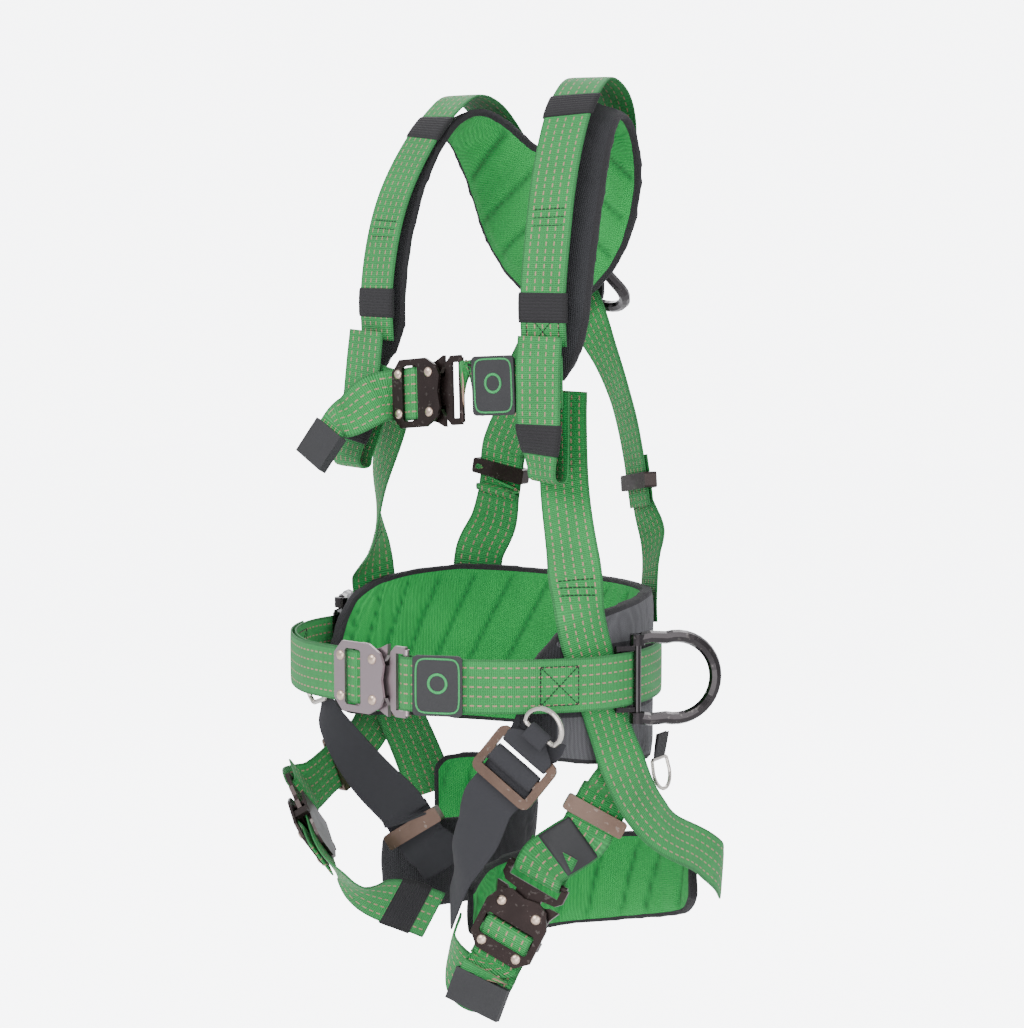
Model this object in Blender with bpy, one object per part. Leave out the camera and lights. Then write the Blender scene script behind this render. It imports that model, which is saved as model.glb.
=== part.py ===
"""Full-body climbing harness with a padded waist belt, for tree work.

The wearer faces -Y, the wearer's left is +X and up is +Z. The origin is on the torso's axis, at the
belt's mid-plane. Lengths here are millimetres, and MM turns them into metres where a mesh is made.
Each strap is a flat band swept along stations. A station is a point of the pattern for the medium
size with the way that the band's face looks there, and the pattern is graded to the torso's size.
"""
import math
from typing import NamedTuple

import bmesh
import bpy
from mathutils import Matrix, Vector

MM = 0.001

# The wearer's size, and the size that the pattern's points were drawn for.
TORSO_WIDTH = 320.0
TORSO_DEPTH = 260.0
TORSO_HEIGHT = 490.0
PATTERN_WIDTH = 320.0
PATTERN_DEPTH = 260.0
PATTERN_HEIGHT = 490.0

# Webbing and the space between plies that lie on each other.
WEBBING_WIDTH = 45.0
WEBBING_THICKNESS = 2.4
PLY_GAP = 1.0
PLY_PITCH = WEBBING_THICKNESS + PLY_GAP
SEWN_GAP = 0.8

# Pads.
SHOULDER_PAD_THICKNESS = 10.0
WAIST_PAD_THICKNESS = 13.0
LEG_PAD_THICKNESS = 10.0
WAIST_PAD_TURN = 168.0
WAIST_PAD_REACH = 121.0
BELT_FRONT_BULGE = 16.0

# Metal parts.
BAR_CLEARANCE = 0.5
SLOT_CLEARANCE = 1.2
WEBBING_SLOT = WEBBING_WIDTH + 2.0 * SLOT_CLEARANCE
SHOULDER_TILT = 5.5
SHOULDER_SHIFT = 7.0
TURN_CLEARANCE = BAR_CLEARANCE + WEBBING_THICKNESS / 2.0

BUCKLE_LENGTH = 59.0
BUCKLE_WIDTH = WEBBING_WIDTH + 14.0
PLATE_THICKNESS = 2.5
ROLL_BAR_RADIUS = 3.0
ROLL_TURN = ROLL_BAR_RADIUS + TURN_CLEARANCE
ROLL_BAR_ALONG = -6.0
WINDOW_LENGTH = 18.5
WINDOW_ALONG = ROLL_BAR_ALONG - 1.75
ROLL_BAR_DEPTH = -(ROLL_TURN + WEBBING_THICKNESS / 2.0 - 0.2)
BACK_PLATE_TOP = ROLL_BAR_DEPTH - ROLL_TURN - WEBBING_THICKNESS / 2.0 - 0.8
BACK_PLATE_BOTTOM = BACK_PLATE_TOP - PLATE_THICKNESS
RIVET_ALONG = 15.0
RIVET_ACROSS = 17.0
RIVET_HEAD = 4.2
RIVET_DOME = 2.2
SHANK_RADIUS = 2.5
TONGUE_THICKNESS = 3.2
TONGUE_DEPTH = (BACK_PLATE_TOP - PLATE_THICKNESS) / 2.0
TONGUE_NECK = 24.5
TONGUE_BAR_RADIUS = 2.6
TONGUE_BAR_ALONG = 47.5
LEVER_THICKNESS = 4.0
LEVER_HOLE = SHANK_RADIUS + 0.35

SIDE_RING_OUTER = 40.0
SIDE_RING_BAR = 5.4
SIDE_RING_REACH = 33.0
PIN_RADIUS = 3.2
KNUCKLE_RADIUS = 6.4
KNUCKLE_HEIGHT = 9.0
HINGE_GAP = 0.5
FRAME_ARM = 4.0
INNER_BAR = (6.0, 2.6)
INNER_BAR_OFFSET = 15.0

SMALL_RING_WIRE = 2.2
VENTRAL_RING_SIZE = (24.0, 34.0)
GEAR_RING_SIZE = (26.0, 30.0)
GEAR_RING_WIRE = 1.6
GEAR_TAB_WIDTH = 20.0
DORSAL_RING_SIZE = (55.0, 56.0)
DORSAL_RING_WIRE = 5.2
DORSAL_PLATE = (66.0, 60.0, 3.0)
DORSAL_BRIDGE = 11.0
DORSAL_TILT = -38.0
VENTRAL_TILT = 24.0

RING_TAB_WIDTH = 20.0
VENTRAL_PIVOT = (36.0, 7.6)
RISER_FRAME_LENGTH = 46.0
RISER_FRAME_WIDTH = WEBBING_SLOT + 14.0
RISER_FRAME_THICKNESS = 4.0
RISER_SLOT = 11.0
RISER_BAR = 7.0

SLIDER_LENGTH = 14.0
SLIDER_WALL = 2.2
SLIDER_RIM = 4.0
SLIDER_CLEARANCE = 0.7

PATCH_LENGTH = 42.0
PATCH_WIDTH = 50.0
PATCH_THICKNESS = 2.2
CAP_LENGTH = 34.0
LEG_CAP_LENGTH = 28.0
CAP_WALL = 1.6
LOOP_HALF_GAP = 6.3

COLOURS = {
    "webbing": ((0.07, 0.42, 0.13), 0.75, 0.0),
    "black_webbing": ((0.02, 0.02, 0.024), 0.8, 0.0),
    "pad": ((0.03, 0.5, 0.1), 0.85, 0.0),
    "rubber": ((0.015, 0.015, 0.018), 0.7, 0.0),
    "dark_metal": ((0.05, 0.035, 0.035), 0.35, 0.9),
    "mauve_metal": ((0.33, 0.27, 0.29), 0.4, 0.9),
    "bronze": ((0.18, 0.12, 0.09), 0.35, 0.9),
    "steel": ((0.7, 0.68, 0.64), 0.25, 1.0),
}


class Station(NamedTuple):
    """A point of a band's middle line, the way its face looks, its width and its bend across."""
    point: Vector
    normal: Vector
    width: float
    bend: float = 0.0


# ---------------------------------------------------------------------------------------------
# Scene, materials and objects
# ---------------------------------------------------------------------------------------------

def clear_scene():
    for thing in list(bpy.data.objects):
        bpy.data.objects.remove(thing, do_unlink=True)


def material(finish):
    found = bpy.data.materials.get(finish)
    if found:
        return found
    colour, roughness, metallic = COLOURS[finish]
    made = bpy.data.materials.new(finish)
    made.use_nodes = True
    shader = made.node_tree.nodes["Principled BSDF"]
    shader.inputs["Base Color"].default_value = (*colour, 1.0)
    shader.inputs["Roughness"].default_value = roughness
    shader.inputs["Metallic"].default_value = metallic
    return made


def add_object(name, mesh, finish, place=None, smooth=True):
    """Link a mesh as a named object with its own material, standing at a place in millimetres."""
    thing = bpy.data.objects.new(name, mesh)
    bpy.context.collection.objects.link(thing)
    own = material(finish).copy()
    own.name = name
    if mesh.materials:
        thing.material_slots[0].link = "OBJECT"
        thing.material_slots[0].material = own
    else:
        mesh.materials.append(own)
    if smooth:
        mesh.shade_smooth()
        mesh.set_sharp_from_angle(angle=math.radians(35.0))
    if place is not None:
        standing = place.copy()
        standing.translation = place.translation * MM
        thing.matrix_world = standing
    return thing


def mesh_from(build, name="shape"):
    """Make a mesh in metres from a bmesh in millimetres."""
    bmesh.ops.scale(build, vec=(MM, MM, MM), verts=build.verts)
    bmesh.ops.recalc_face_normals(build, faces=build.faces)
    mesh = bpy.data.meshes.new(name)
    build.to_mesh(mesh)
    build.free()
    return mesh


def combine(base, tools, operation):
    """Join tool meshes to a base mesh, or cut them from it, one exact Boolean at a time."""
    body = bpy.data.objects.new("work_body", base)
    bpy.context.collection.objects.link(body)
    helpers = []
    for tool in tools:
        helper = bpy.data.objects.new("work_tool", tool)
        helper.hide_render = True
        helper.display_type = "WIRE"
        bpy.context.collection.objects.link(helper)
        helpers.append(helper)
        step = body.modifiers.new("join", "BOOLEAN")
        step.operation = operation
        step.solver = "EXACT"
        step.object = helper
    bpy.context.view_layer.update()
    evaluated = body.evaluated_get(bpy.context.evaluated_depsgraph_get())
    mesh = bpy.data.meshes.new_from_object(evaluated)
    for thing in [body, *helpers]:
        bpy.data.objects.remove(thing, do_unlink=True)
    tidy = bmesh.new()
    tidy.from_mesh(mesh)
    bmesh.ops.remove_doubles(tidy, verts=tidy.verts, dist=1e-6)
    bmesh.ops.dissolve_degenerate(tidy, edges=tidy.edges, dist=1e-6)
    tidy.to_mesh(mesh)
    tidy.free()
    mesh.materials.clear()
    return mesh


# ---------------------------------------------------------------------------------------------
# Plain shapes, all in millimetres
# ---------------------------------------------------------------------------------------------

def box(size, centre=(0.0, 0.0, 0.0), turn=None):
    build = bmesh.new()
    bmesh.ops.create_cube(build, size=1.0)
    bmesh.ops.scale(build, vec=size, verts=build.verts)
    if turn is not None:
        bmesh.ops.transform(build, matrix=turn, verts=build.verts)
    bmesh.ops.translate(build, vec=centre, verts=build.verts)
    return mesh_from(build)


def rod(radius, length, axis, centre=(0.0, 0.0, 0.0), sides=16):
    """A round rod of a length along an axis letter."""
    build = bmesh.new()
    bmesh.ops.create_cone(build, cap_ends=True, segments=sides, radius1=radius, radius2=radius,
                          depth=length)
    turns = {"X": Matrix.Rotation(math.pi / 2, 4, "Y"), "Y": Matrix.Rotation(math.pi / 2, 4, "X"),
             "Z": Matrix.Identity(4)}
    bmesh.ops.transform(build, matrix=turns[axis], verts=build.verts)
    bmesh.ops.translate(build, vec=centre, verts=build.verts)
    return mesh_from(build)


def slab(outline, bottom, top):
    """A flat plate: an outline of (along, across) points between two heights."""
    build = bmesh.new()
    low = [build.verts.new((x, y, bottom)) for x, y in outline]
    high = [build.verts.new((x, y, top)) for x, y in outline]
    count = len(outline)
    for k in range(count):
        build.faces.new((low[k], low[(k + 1) % count], high[(k + 1) % count], high[k]))
    build.faces.new(list(reversed(low)))
    build.faces.new(high)
    bmesh.ops.triangulate(build, faces=build.faces)
    return mesh_from(build)


def rounded_outline(length, width, corner, steps=3):
    """Corner arcs of a rounded rectangle about the origin."""
    points = []
    for sign_x, sign_y, start in ((1, 1, 0), (-1, 1, 90), (-1, -1, 180), (1, -1, 270)):
        centre_x = sign_x * (length / 2 - corner)
        centre_y = sign_y * (width / 2 - corner)
        for step in range(steps + 1):
            angle = math.radians(start + 90.0 * step / steps)
            points.append((centre_x + corner * math.cos(angle), centre_y + corner * math.sin(angle)))
    return points


def dome(radius, height, centre, sides=10):
    """A rivet's head: a low spherical cap on a short skirt that sinks into its plate."""
    build = bmesh.new()
    rings = []
    for share in (-0.35, 0.0, 0.55, 0.88):
        spread = radius * math.sqrt(1.0 - max(share, 0.0) ** 2)
        rings.append([build.verts.new((spread * math.cos(2 * math.pi * k / sides),
                                       spread * math.sin(2 * math.pi * k / sides), height * share))
                      for k in range(sides)])
    for low, high in zip(rings, rings[1:]):
        for k in range(sides):
            build.faces.new((low[k], low[(k + 1) % sides], high[(k + 1) % sides], high[k]))
    build.faces.new(list(reversed(rings[0])))
    build.faces.new(rings[-1])
    bmesh.ops.translate(build, vec=centre, verts=build.verts)
    return mesh_from(build)


def wire(points, radius, closed=False, resolution=2):
    """A round wire along points in millimetres, from a bevelled curve with filled caps."""
    curve = bpy.data.curves.new("wire", "CURVE")
    curve.dimensions = "3D"
    curve.bevel_depth = radius * MM
    curve.bevel_resolution = resolution
    curve.use_fill_caps = True
    spline = curve.splines.new("POLY")
    spline.points.add(len(points) - 1)
    for target, point in zip(spline.points, points):
        target.co = (*(Vector(point) * MM), 1.0)
    spline.use_cyclic_u = closed
    thing = bpy.data.objects.new("wire", curve)
    bpy.context.collection.objects.link(thing)
    bpy.context.view_layer.update()
    mesh = bpy.data.meshes.new_from_object(thing.evaluated_get(bpy.context.evaluated_depsgraph_get()))
    bpy.data.objects.remove(thing, do_unlink=True)
    return mesh


# ---------------------------------------------------------------------------------------------
# Stations and bands
# ---------------------------------------------------------------------------------------------

def facing(azimuth, tilt=0.0):
    """Unit vector: azimuth 0 looks to the front, 90 to the wearer's left; tilt looks up."""
    turn, rise = math.radians(azimuth), math.radians(tilt)
    return Vector((math.sin(turn) * math.cos(rise), -math.cos(turn) * math.cos(rise), math.sin(rise)))


def graded(x, y, z):
    """A pattern point, graded to the wearer's size.

    The harness hangs with its right shoulder lower and nearer to the neck than its left one.
    """
    share = min(max((z - 280.0) / 180.0, 0.0), 1.0)
    side = min(max(x / 60.0, -1.0), 1.0)
    z += share * (SHOULDER_TILT * side - 0.5)
    front = min(max((90.0 - y) / 60.0, 0.0), 1.0) * min(max((z - 150.0) / 60.0, 0.0), 1.0)
    x += SHOULDER_SHIFT * front * min(max((-x - 30.0) / 40.0, 0.0), 1.0)
    return Vector((x * TORSO_WIDTH / PATTERN_WIDTH, y * TORSO_DEPTH / PATTERN_DEPTH,
                   z * TORSO_HEIGHT / PATTERN_HEIGHT))


def at(x, y, z, azimuth, tilt=0.0, ply=0.0, width=None):
    """A station at a pattern point, moved out along its face by a number of plies."""
    normal = facing(azimuth, tilt)
    return Station(graded(x, y, z) + normal * ply * PLY_PITCH, normal, width or WEBBING_WIDTH)


def on_waist(angle, height, ply, bulge=0.0, width=None):
    """A station on the waist pad's outer face: angle from the front, and the ply counted from 1."""
    turn = math.radians(angle)
    half_width, half_depth = TORSO_WIDTH / 2.0, TORSO_DEPTH / 2.0
    normal = Vector((half_depth * math.sin(turn), -half_width * math.cos(turn), 0.0)).normalized()
    surface = Vector((half_width * math.sin(turn), -half_depth * math.cos(turn),
                      height * TORSO_HEIGHT / PATTERN_HEIGHT))
    offset = ply * PLY_PITCH - WEBBING_THICKNESS / 2.0 + bulge
    speed = math.hypot(half_width * math.cos(turn), half_depth * math.sin(turn))
    bend = half_width * half_depth / speed ** 3
    return Station(surface + normal * offset, normal, width or WEBBING_WIDTH, bend)


def belt_station(angle, ply, bulge=0.0):
    """A station of the belt, which stands off the body in front, where no pad is."""
    stand_off = BELT_FRONT_BULGE * max(0.0, math.cos(math.radians(angle)))
    station = on_waist(angle, 0.0, ply, stand_off + bulge)
    return station._replace(bend=0.0)


def mirrored(stations):
    """The same stations on the wearer's other side."""
    flip = Vector((-1.0, 1.0, 1.0))
    return [Station(s.point * flip, s.normal * flip, s.width, s.bend) for s in stations]


def turned_over(stations):
    """The same stations with the band's faces swapped."""
    return [Station(s.point, -s.normal, s.width, -s.bend) for s in stations]


def lifted(stations, distance):
    return [Station(s.point + s.normal * distance, s.normal, s.width, s.bend) for s in stations]


def smooth_route(stations, steps):
    """A curve through the stations, with knots spaced by the root of the way between them."""
    rows = [Vector((*s.point, *s.normal, s.width, s.bend)) for s in stations]
    rows = [2 * rows[0] - rows[1], *rows, 2 * rows[-1] - rows[-2]]
    knots = [0.0]
    for before, after in zip(rows, rows[1:]):
        knots.append(knots[-1] + max(math.dist(before[:3], after[:3]), 0.01) ** 0.5)
    route = []
    for i in range(1, len(rows) - 2):
        for k in range(steps):
            route.append(curve_point(rows[i - 1:i + 3], knots[i - 1:i + 3], k / steps))
    route.append(rows[-2])
    return [Station(Vector(r[:3]), Vector(r[3:6]).normalized(), r[6], r[7]) for r in route]


def curve_point(rows, knots, share):
    """The curve's row at a share of the way between its two middle rows."""
    here = knots[1] + (knots[2] - knots[1]) * share
    points = list(rows)
    for level in range(1, 4):
        blended = []
        for i in range(len(points) - 1):
            start, end = blend_knots(level, i)
            weight = (here - knots[start]) / (knots[end] - knots[start])
            blended.append(points[i].lerp(points[i + 1], weight))
        points = blended
    return points[0]


def blend_knots(level, index):
    """The knots between which a level of the curve's blending runs."""
    return {1: ((0, 1), (1, 2), (2, 3)), 2: ((0, 2), (1, 3)), 3: ((1, 2),)}[level][index]


def band_mesh(stations, thickness=None, steps=3, outward=0.5, rounded=False, across=1):
    """A closed flat band. outward is the share of the thickness that lies on the face's side.

    With more than one run across, the band also bends across its width by its stations' bend.
    """
    thick = thickness or WEBBING_THICKNESS
    route = smooth_route(stations, steps)
    build = bmesh.new()
    rings = []
    for i, here in enumerate(route):
        before, after = route[max(i - 1, 0)].point, route[min(i + 1, len(route) - 1)].point
        along = (after - before).normalized()
        side = along.cross(here.normal).normalized()
        normal = side.cross(along).normalized()
        half = here.width / 2.0
        if rounded:
            share = min(i, len(route) - 1 - i) / 2.0
            half *= min(1.0, 0.72 + 0.28 * math.sqrt(min(share, 1.0)))
        high, low = thick * outward, -thick * (1.0 - outward)
        spread = [half * (2.0 * k / across - 1.0) for k in range(across + 1)]
        section = [(a, low) for a in spread] + [(a, high) for a in reversed(spread)]
        bend = here.bend if across > 1 else 0.0
        rings.append([build.verts.new(here.point + side * a + normal * (b - bend * a * a / 2.0))
                      for a, b in section])
    count = len(rings[0])
    for low_ring, high_ring in zip(rings, rings[1:]):
        for k in range(count):
            build.faces.new((low_ring[k], low_ring[(k + 1) % count], high_ring[(k + 1) % count],
                             high_ring[k]))
    build.faces.new(list(reversed(rings[0])))
    build.faces.new(rings[-1])
    bmesh.ops.triangulate(build, faces=build.faces)
    return mesh_from(build)


def place_on_route(stations, near, steps=3):
    """A frame on a route at the smoothed station nearest to a point: X along it, Z out."""
    route = smooth_route(stations, steps)
    best = min(range(1, len(route) - 1), key=lambda i: (route[i].point - near).length)
    along = route[best + 1].point - route[best - 1].point
    return place_at(route[best].point, along, route[best].normal)


def place_at(point, along, outward):
    """A frame in millimetres: its X runs along, its Y across and its Z outward."""
    z_axis = outward.normalized()
    x_axis = (along - z_axis * along.dot(z_axis)).normalized()
    y_axis = z_axis.cross(x_axis)
    turn = Matrix((x_axis, y_axis, z_axis)).transposed().to_4x4()
    return Matrix.Translation(point) @ turn


def local(place, along, outward, face_along, face_outward, width=None):
    """A station given in a hardware frame."""
    normal = place.to_3x3() @ Vector((face_along, 0.0, face_outward))
    return Station(place @ Vector((along, 0.0, outward)), normal.normalized(), width or WEBBING_WIDTH)


def straight(place, outward, alongs):
    """Stations on a straight run through a hardware frame."""
    return [local(place, along, outward, 0.0, 1.0) for along in alongs]


def beside(place, along, across, outward, azimuth=None, tilt=0.0):
    """A station given in a hardware frame, off its middle line, with a face of its own."""
    normal = place.col[2].to_3d() if azimuth is None else facing(azimuth, tilt)
    return Station(place @ Vector((along, across, outward)), normal, WEBBING_WIDTH)


def round_bar(place, bar_along, bar_outward, radius, start, end, width=None, pieces=4):
    """Stations of webbing that turns round a bar, from one angle in degrees to another."""
    stations = []
    for k in range(pieces + 1):
        angle = math.radians(start + (end - start) * k / pieces)
        c, s = math.cos(angle), math.sin(angle)
        stations.append(local(place, bar_along + radius * c, bar_outward + radius * s, c, s, width))
    return stations


# ---------------------------------------------------------------------------------------------
# Buckles
# ---------------------------------------------------------------------------------------------

def buckle_body_mesh():
    """Front plate with the webbing's window, back plate, roll bar and four rivets, in one body."""
    half_length, half_width = BUCKLE_LENGTH / 2.0, BUCKLE_WIDTH / 2.0
    outline = [(-half_length, -half_width + 10.5), (-half_length + 9.5, -half_width),
               (11.0, -half_width), (24.0, -half_width + 7.0), (28.0, -half_width + 16.0),
               (25.5, 0.0), (28.0, half_width - 16.0), (24.0, half_width - 7.0),
               (11.0, half_width), (-half_length + 9.5, half_width),
               (-half_length, half_width - 10.5)]
    front = slab(outline, -PLATE_THICKNESS, 0.0)
    window = slab(rounded_outline(WINDOW_LENGTH, WEBBING_SLOT, 2.0, steps=1), -9.0, 9.0)
    window.transform(Matrix.Translation((WINDOW_ALONG * MM, 0.0, 0.0)))
    front = combine(front, [window], "DIFFERENCE")
    back_outline = [(-half_length - 6.5, -9.0), (-half_length - 2.0, -16.0), (-16.0, -22.0),
                    (24.0, -22.0), (25.5, 0.0), (24.0, 22.0), (-16.0, 22.0),
                    (-half_length - 2.0, 16.0), (-half_length - 6.5, 9.0)]
    parts = [slab(back_outline, BACK_PLATE_BOTTOM, BACK_PLATE_TOP)]
    post_across = WEBBING_SLOT / 2.0 + 2.0
    parts.append(rod(ROLL_BAR_RADIUS, 2.0 * post_across, "Y", (ROLL_BAR_ALONG, 0.0, ROLL_BAR_DEPTH), 12))
    depth = -BACK_PLATE_BOTTOM
    for side in (-1.0, 1.0):
        parts.append(box((8.0, 3.4, depth - 1.0),
                         (ROLL_BAR_ALONG, side * post_across, BACK_PLATE_BOTTOM / 2.0)))
        parts.append(box((6.6, 6.0, PLATE_THICKNESS - 0.6),
                         (ROLL_BAR_ALONG, side * (post_across - 2.5),
                          BACK_PLATE_BOTTOM + PLATE_THICKNESS / 2.0)))
        for along in (RIVET_ALONG, -RIVET_ALONG - 7.0):
            parts.append(dome(RIVET_HEAD, RIVET_DOME, (along, side * RIVET_ACROSS, -0.2)))
        parts.append(rod(SHANK_RADIUS, depth - 0.8, "Z",
                         (RIVET_ALONG, side * RIVET_ACROSS, BACK_PLATE_BOTTOM / 2.0), 12))
    return combine(front, parts, "UNION")


def tongue_mesh():
    """The hook that the buckle catches: a neck between the plates and a rounded webbing frame."""
    half_width = BUCKLE_WIDTH / 2.0
    slot_inner = TONGUE_BAR_ALONG - 10.5
    outline = [(7.0, -9.0), (10.0, -TONGUE_NECK / 2.0), (29.5, -TONGUE_NECK / 2.0),
               (31.0, -half_width + 5.0), (36.0, -half_width), (TONGUE_BAR_ALONG, -half_width),
               (TONGUE_BAR_ALONG, half_width), (36.0, half_width), (31.0, half_width - 5.0),
               (29.5, TONGUE_NECK / 2.0), (10.0, TONGUE_NECK / 2.0), (7.0, 9.0)]
    half = TONGUE_THICKNESS / 2.0
    plate = slab(outline, TONGUE_DEPTH - half, TONGUE_DEPTH + half)
    slot_length = TONGUE_BAR_ALONG + 8.0 - slot_inner
    slot = box((slot_length, WEBBING_SLOT, 12.0),
               (slot_inner + slot_length / 2.0, 0.0, TONGUE_DEPTH))
    plate = combine(plate, [slot], "DIFFERENCE")
    bar = rod(TONGUE_BAR_RADIUS, BUCKLE_WIDTH - 4.0, "Y", (TONGUE_BAR_ALONG, 0.0, TONGUE_DEPTH), 12)
    return combine(plate, [bar], "UNION")


def lever_mesh(side):
    """A release lever about its rivet, with a pointed ear past the front plate's corner."""
    outline = [(-9.0, -1.6), (-9.5, 5.0), (-2.0, 8.2), (4.0, 9.2), (13.0, 13.5), (12.6, 4.0),
               (9.0, -1.6)]
    outline = [(x, side * y) for x, y in outline]
    half = LEVER_THICKNESS / 2.0
    plate = slab(outline, -half, half)
    return combine(plate, [rod(LEVER_HOLE, 12.0, "Z", sides=12)], "DIFFERENCE")


def add_buckle(name, place, finish, meshes):
    """One quick-connect buckle: body, tongue and two levers on their rivets."""
    body_mesh, tongue, levers = meshes
    add_object(f"{name}_buckle_body", body_mesh.copy(), finish, place)
    add_object(f"{name}_buckle_tongue", tongue.copy(), finish, place)
    for label, side in (("upper", 1.0), ("lower", -1.0)):
        pivot = place @ Matrix.Translation((RIVET_ALONG, side * RIVET_ACROSS, TONGUE_DEPTH))
        add_object(f"{name}_lever_{label}", levers[side].copy(), "steel", pivot)


def tongue_turn(place, reach=12.0, fall=0.0):
    """Webbing round the tongue's outer bar, from the back ply to a front ply of some reach.

    fall is how far the sewn back ply bends away behind.
    """
    radius = TONGUE_BAR_RADIUS + TURN_CLEARANCE
    back = [local(place, TONGUE_BAR_ALONG + 26.0, TONGUE_DEPTH - radius - fall, 0.0, -1.0),
            local(place, TONGUE_BAR_ALONG + 10.0, TONGUE_DEPTH - radius, 0.0, -1.0)]
    turn = round_bar(place, TONGUE_BAR_ALONG, TONGUE_DEPTH, radius, -90.0, -270.0)
    front = [local(place, TONGUE_BAR_ALONG + reach, TONGUE_DEPTH + radius, 0.0, 1.0)]
    return back + turn + front


def roll_turn(place):
    """Webbing round the roll bar: in over the back plate, round, and out under the front plate."""
    under_plate = -PLATE_THICKNESS - 0.6 - WEBBING_THICKNESS / 2.0
    lower = ROLL_BAR_DEPTH - ROLL_TURN
    incoming = [local(place, along, lower, 0.0, -1.0) for along in (-36.0, -20.0)]
    turn = round_bar(place, ROLL_BAR_ALONG, ROLL_BAR_DEPTH, ROLL_TURN, -90.0, 90.0)
    outgoing = [local(place, ROLL_BAR_ALONG - 5.0, ROLL_BAR_DEPTH + ROLL_TURN - 1.2, -0.4, 0.92),
                local(place, ROLL_BAR_ALONG - 11.0, under_plate - 0.1, -0.15, 0.99),
                local(place, -24.0, under_plate - 0.2, 0.0, 1.0),
                local(place, -36.0, under_plate - 0.7, 0.0, 1.0)]
    return incoming + turn + outgoing


# ---------------------------------------------------------------------------------------------
# Rings, frames and sliders
# ---------------------------------------------------------------------------------------------

def d_ring_points(length, width, arc_steps=14):
    """A closed D: its straight bar on the Y axis at the origin, its bow out along +X."""
    half = width / 2.0
    corner = min(4.0, half / 3.0)
    points = [(0.0, -half + corner, 0.0), (0.0, half - corner, 0.0)]
    points.append((corner * 0.35, half - corner * 0.35, 0.0))
    start = max(length - half, corner)
    for step in range(arc_steps + 1):
        angle = math.pi / 2.0 - math.pi * step / arc_steps
        points.append((start + (length - start) * math.cos(angle), half * math.sin(angle), 0.0))
    points.append((corner * 0.35, -half + corner * 0.35, 0.0))
    return points


def side_ring_mesh():
    """The big side ring about its upright pin: a round bow with two bored knuckles."""
    knuckle = WEBBING_SLOT / 2.0 + FRAME_ARM + HINGE_GAP + KNUCKLE_HEIGHT / 2.0
    middle = SIDE_RING_OUTER - SIDE_RING_BAR
    points = [(0.0, 0.0, knuckle), (11.0, 0.0, knuckle + 1.8)]
    for step in range(23):
        angle = math.radians(104.0 - 208.0 * step / 22.0)
        points.append((SIDE_RING_REACH + middle * math.cos(angle), 0.0, middle * math.sin(angle)))
    points += [(11.0, 0.0, -knuckle - 1.8), (0.0, 0.0, -knuckle)]
    bow = wire(points, SIDE_RING_BAR)
    knuckles = [rod(KNUCKLE_RADIUS, KNUCKLE_HEIGHT, "Z", (0.0, 0.0, side * knuckle))
                for side in (-1.0, 1.0)]
    joined = combine(bow, knuckles, "UNION")
    room = PIN_RADIUS + 0.4
    inner = 2.0 * (knuckle - KNUCKLE_HEIGHT / 2.0)
    cutters = [rod(room, 4.0 * knuckle, "Z"), box((30.0, 30.0, inner), (0.0, 0.0, 0.0))]
    return combine(joined, cutters, "DIFFERENCE")


def side_frame_mesh():
    """The bracket of a side ring: an inner bar behind the belt, two arms and the ring's pin."""
    knuckle_top = WEBBING_SLOT / 2.0 + FRAME_ARM + HINGE_GAP + KNUCKLE_HEIGHT
    pin = rod(PIN_RADIUS, 2.0 * knuckle_top, "Z", sides=14)
    inner = Vector((PLY_PITCH + 0.8 + INNER_BAR[1] / 2.0 - side_pin_lift(), -INNER_BAR_OFFSET, 0.0))
    arm_height = WEBBING_SLOT / 2.0 + FRAME_ARM / 2.0
    parts = [box((INNER_BAR[1], INNER_BAR[0], WEBBING_SLOT + FRAME_ARM), inner)]
    span = inner.length + 4.0
    lean = math.atan2(inner.y, inner.x)
    for side in (-1.0, 1.0):
        middle = inner / 2.0 + Vector((0.0, 0.0, side * arm_height))
        parts.append(box((span, 3.4, FRAME_ARM), middle, Matrix.Rotation(lean, 4, "Z")))
    return combine(pin, parts, "UNION")


def side_pin_lift():
    """How far the pin stands outside the waist pad's outer face, over the belt's webbing."""
    return 3.0 * PLY_PITCH + BAR_CLEARANCE + PIN_RADIUS


def riser_frame_mesh():
    """A rounded frame with two slots and a bar between them."""
    half = RISER_FRAME_THICKNESS / 2.0
    plate = slab(rounded_outline(RISER_FRAME_LENGTH, RISER_FRAME_WIDTH, 7.0), -half, half)
    slots = []
    for side in (-1.0, 1.0):
        centre = side * (RISER_BAR + RISER_SLOT) / 2.0
        slot = slab(rounded_outline(RISER_SLOT, WEBBING_SLOT, 0.6, steps=1), -9.0, 9.0)
        slot.transform(Matrix.Translation((centre * MM, 0.0, 0.0)))
        slots.append(slot)
    return combine(plate, slots, "DIFFERENCE")


def slider_mesh(plies, length):
    """A slider that goes round a number of plies of webbing."""
    room = plies * WEBBING_THICKNESS + (plies - 1) * PLY_GAP + 2.0 * SLIDER_CLEARANCE
    outer = slab(rounded_outline(length, WEBBING_SLOT + 2.0 * SLIDER_RIM, 2.0, steps=2),
                 -room / 2.0 - SLIDER_WALL, room / 2.0 + SLIDER_WALL)
    return combine(outer, [box((length + 9.0, WEBBING_SLOT, room))], "DIFFERENCE")


# ---------------------------------------------------------------------------------------------
# Straps' routes
# ---------------------------------------------------------------------------------------------

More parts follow.
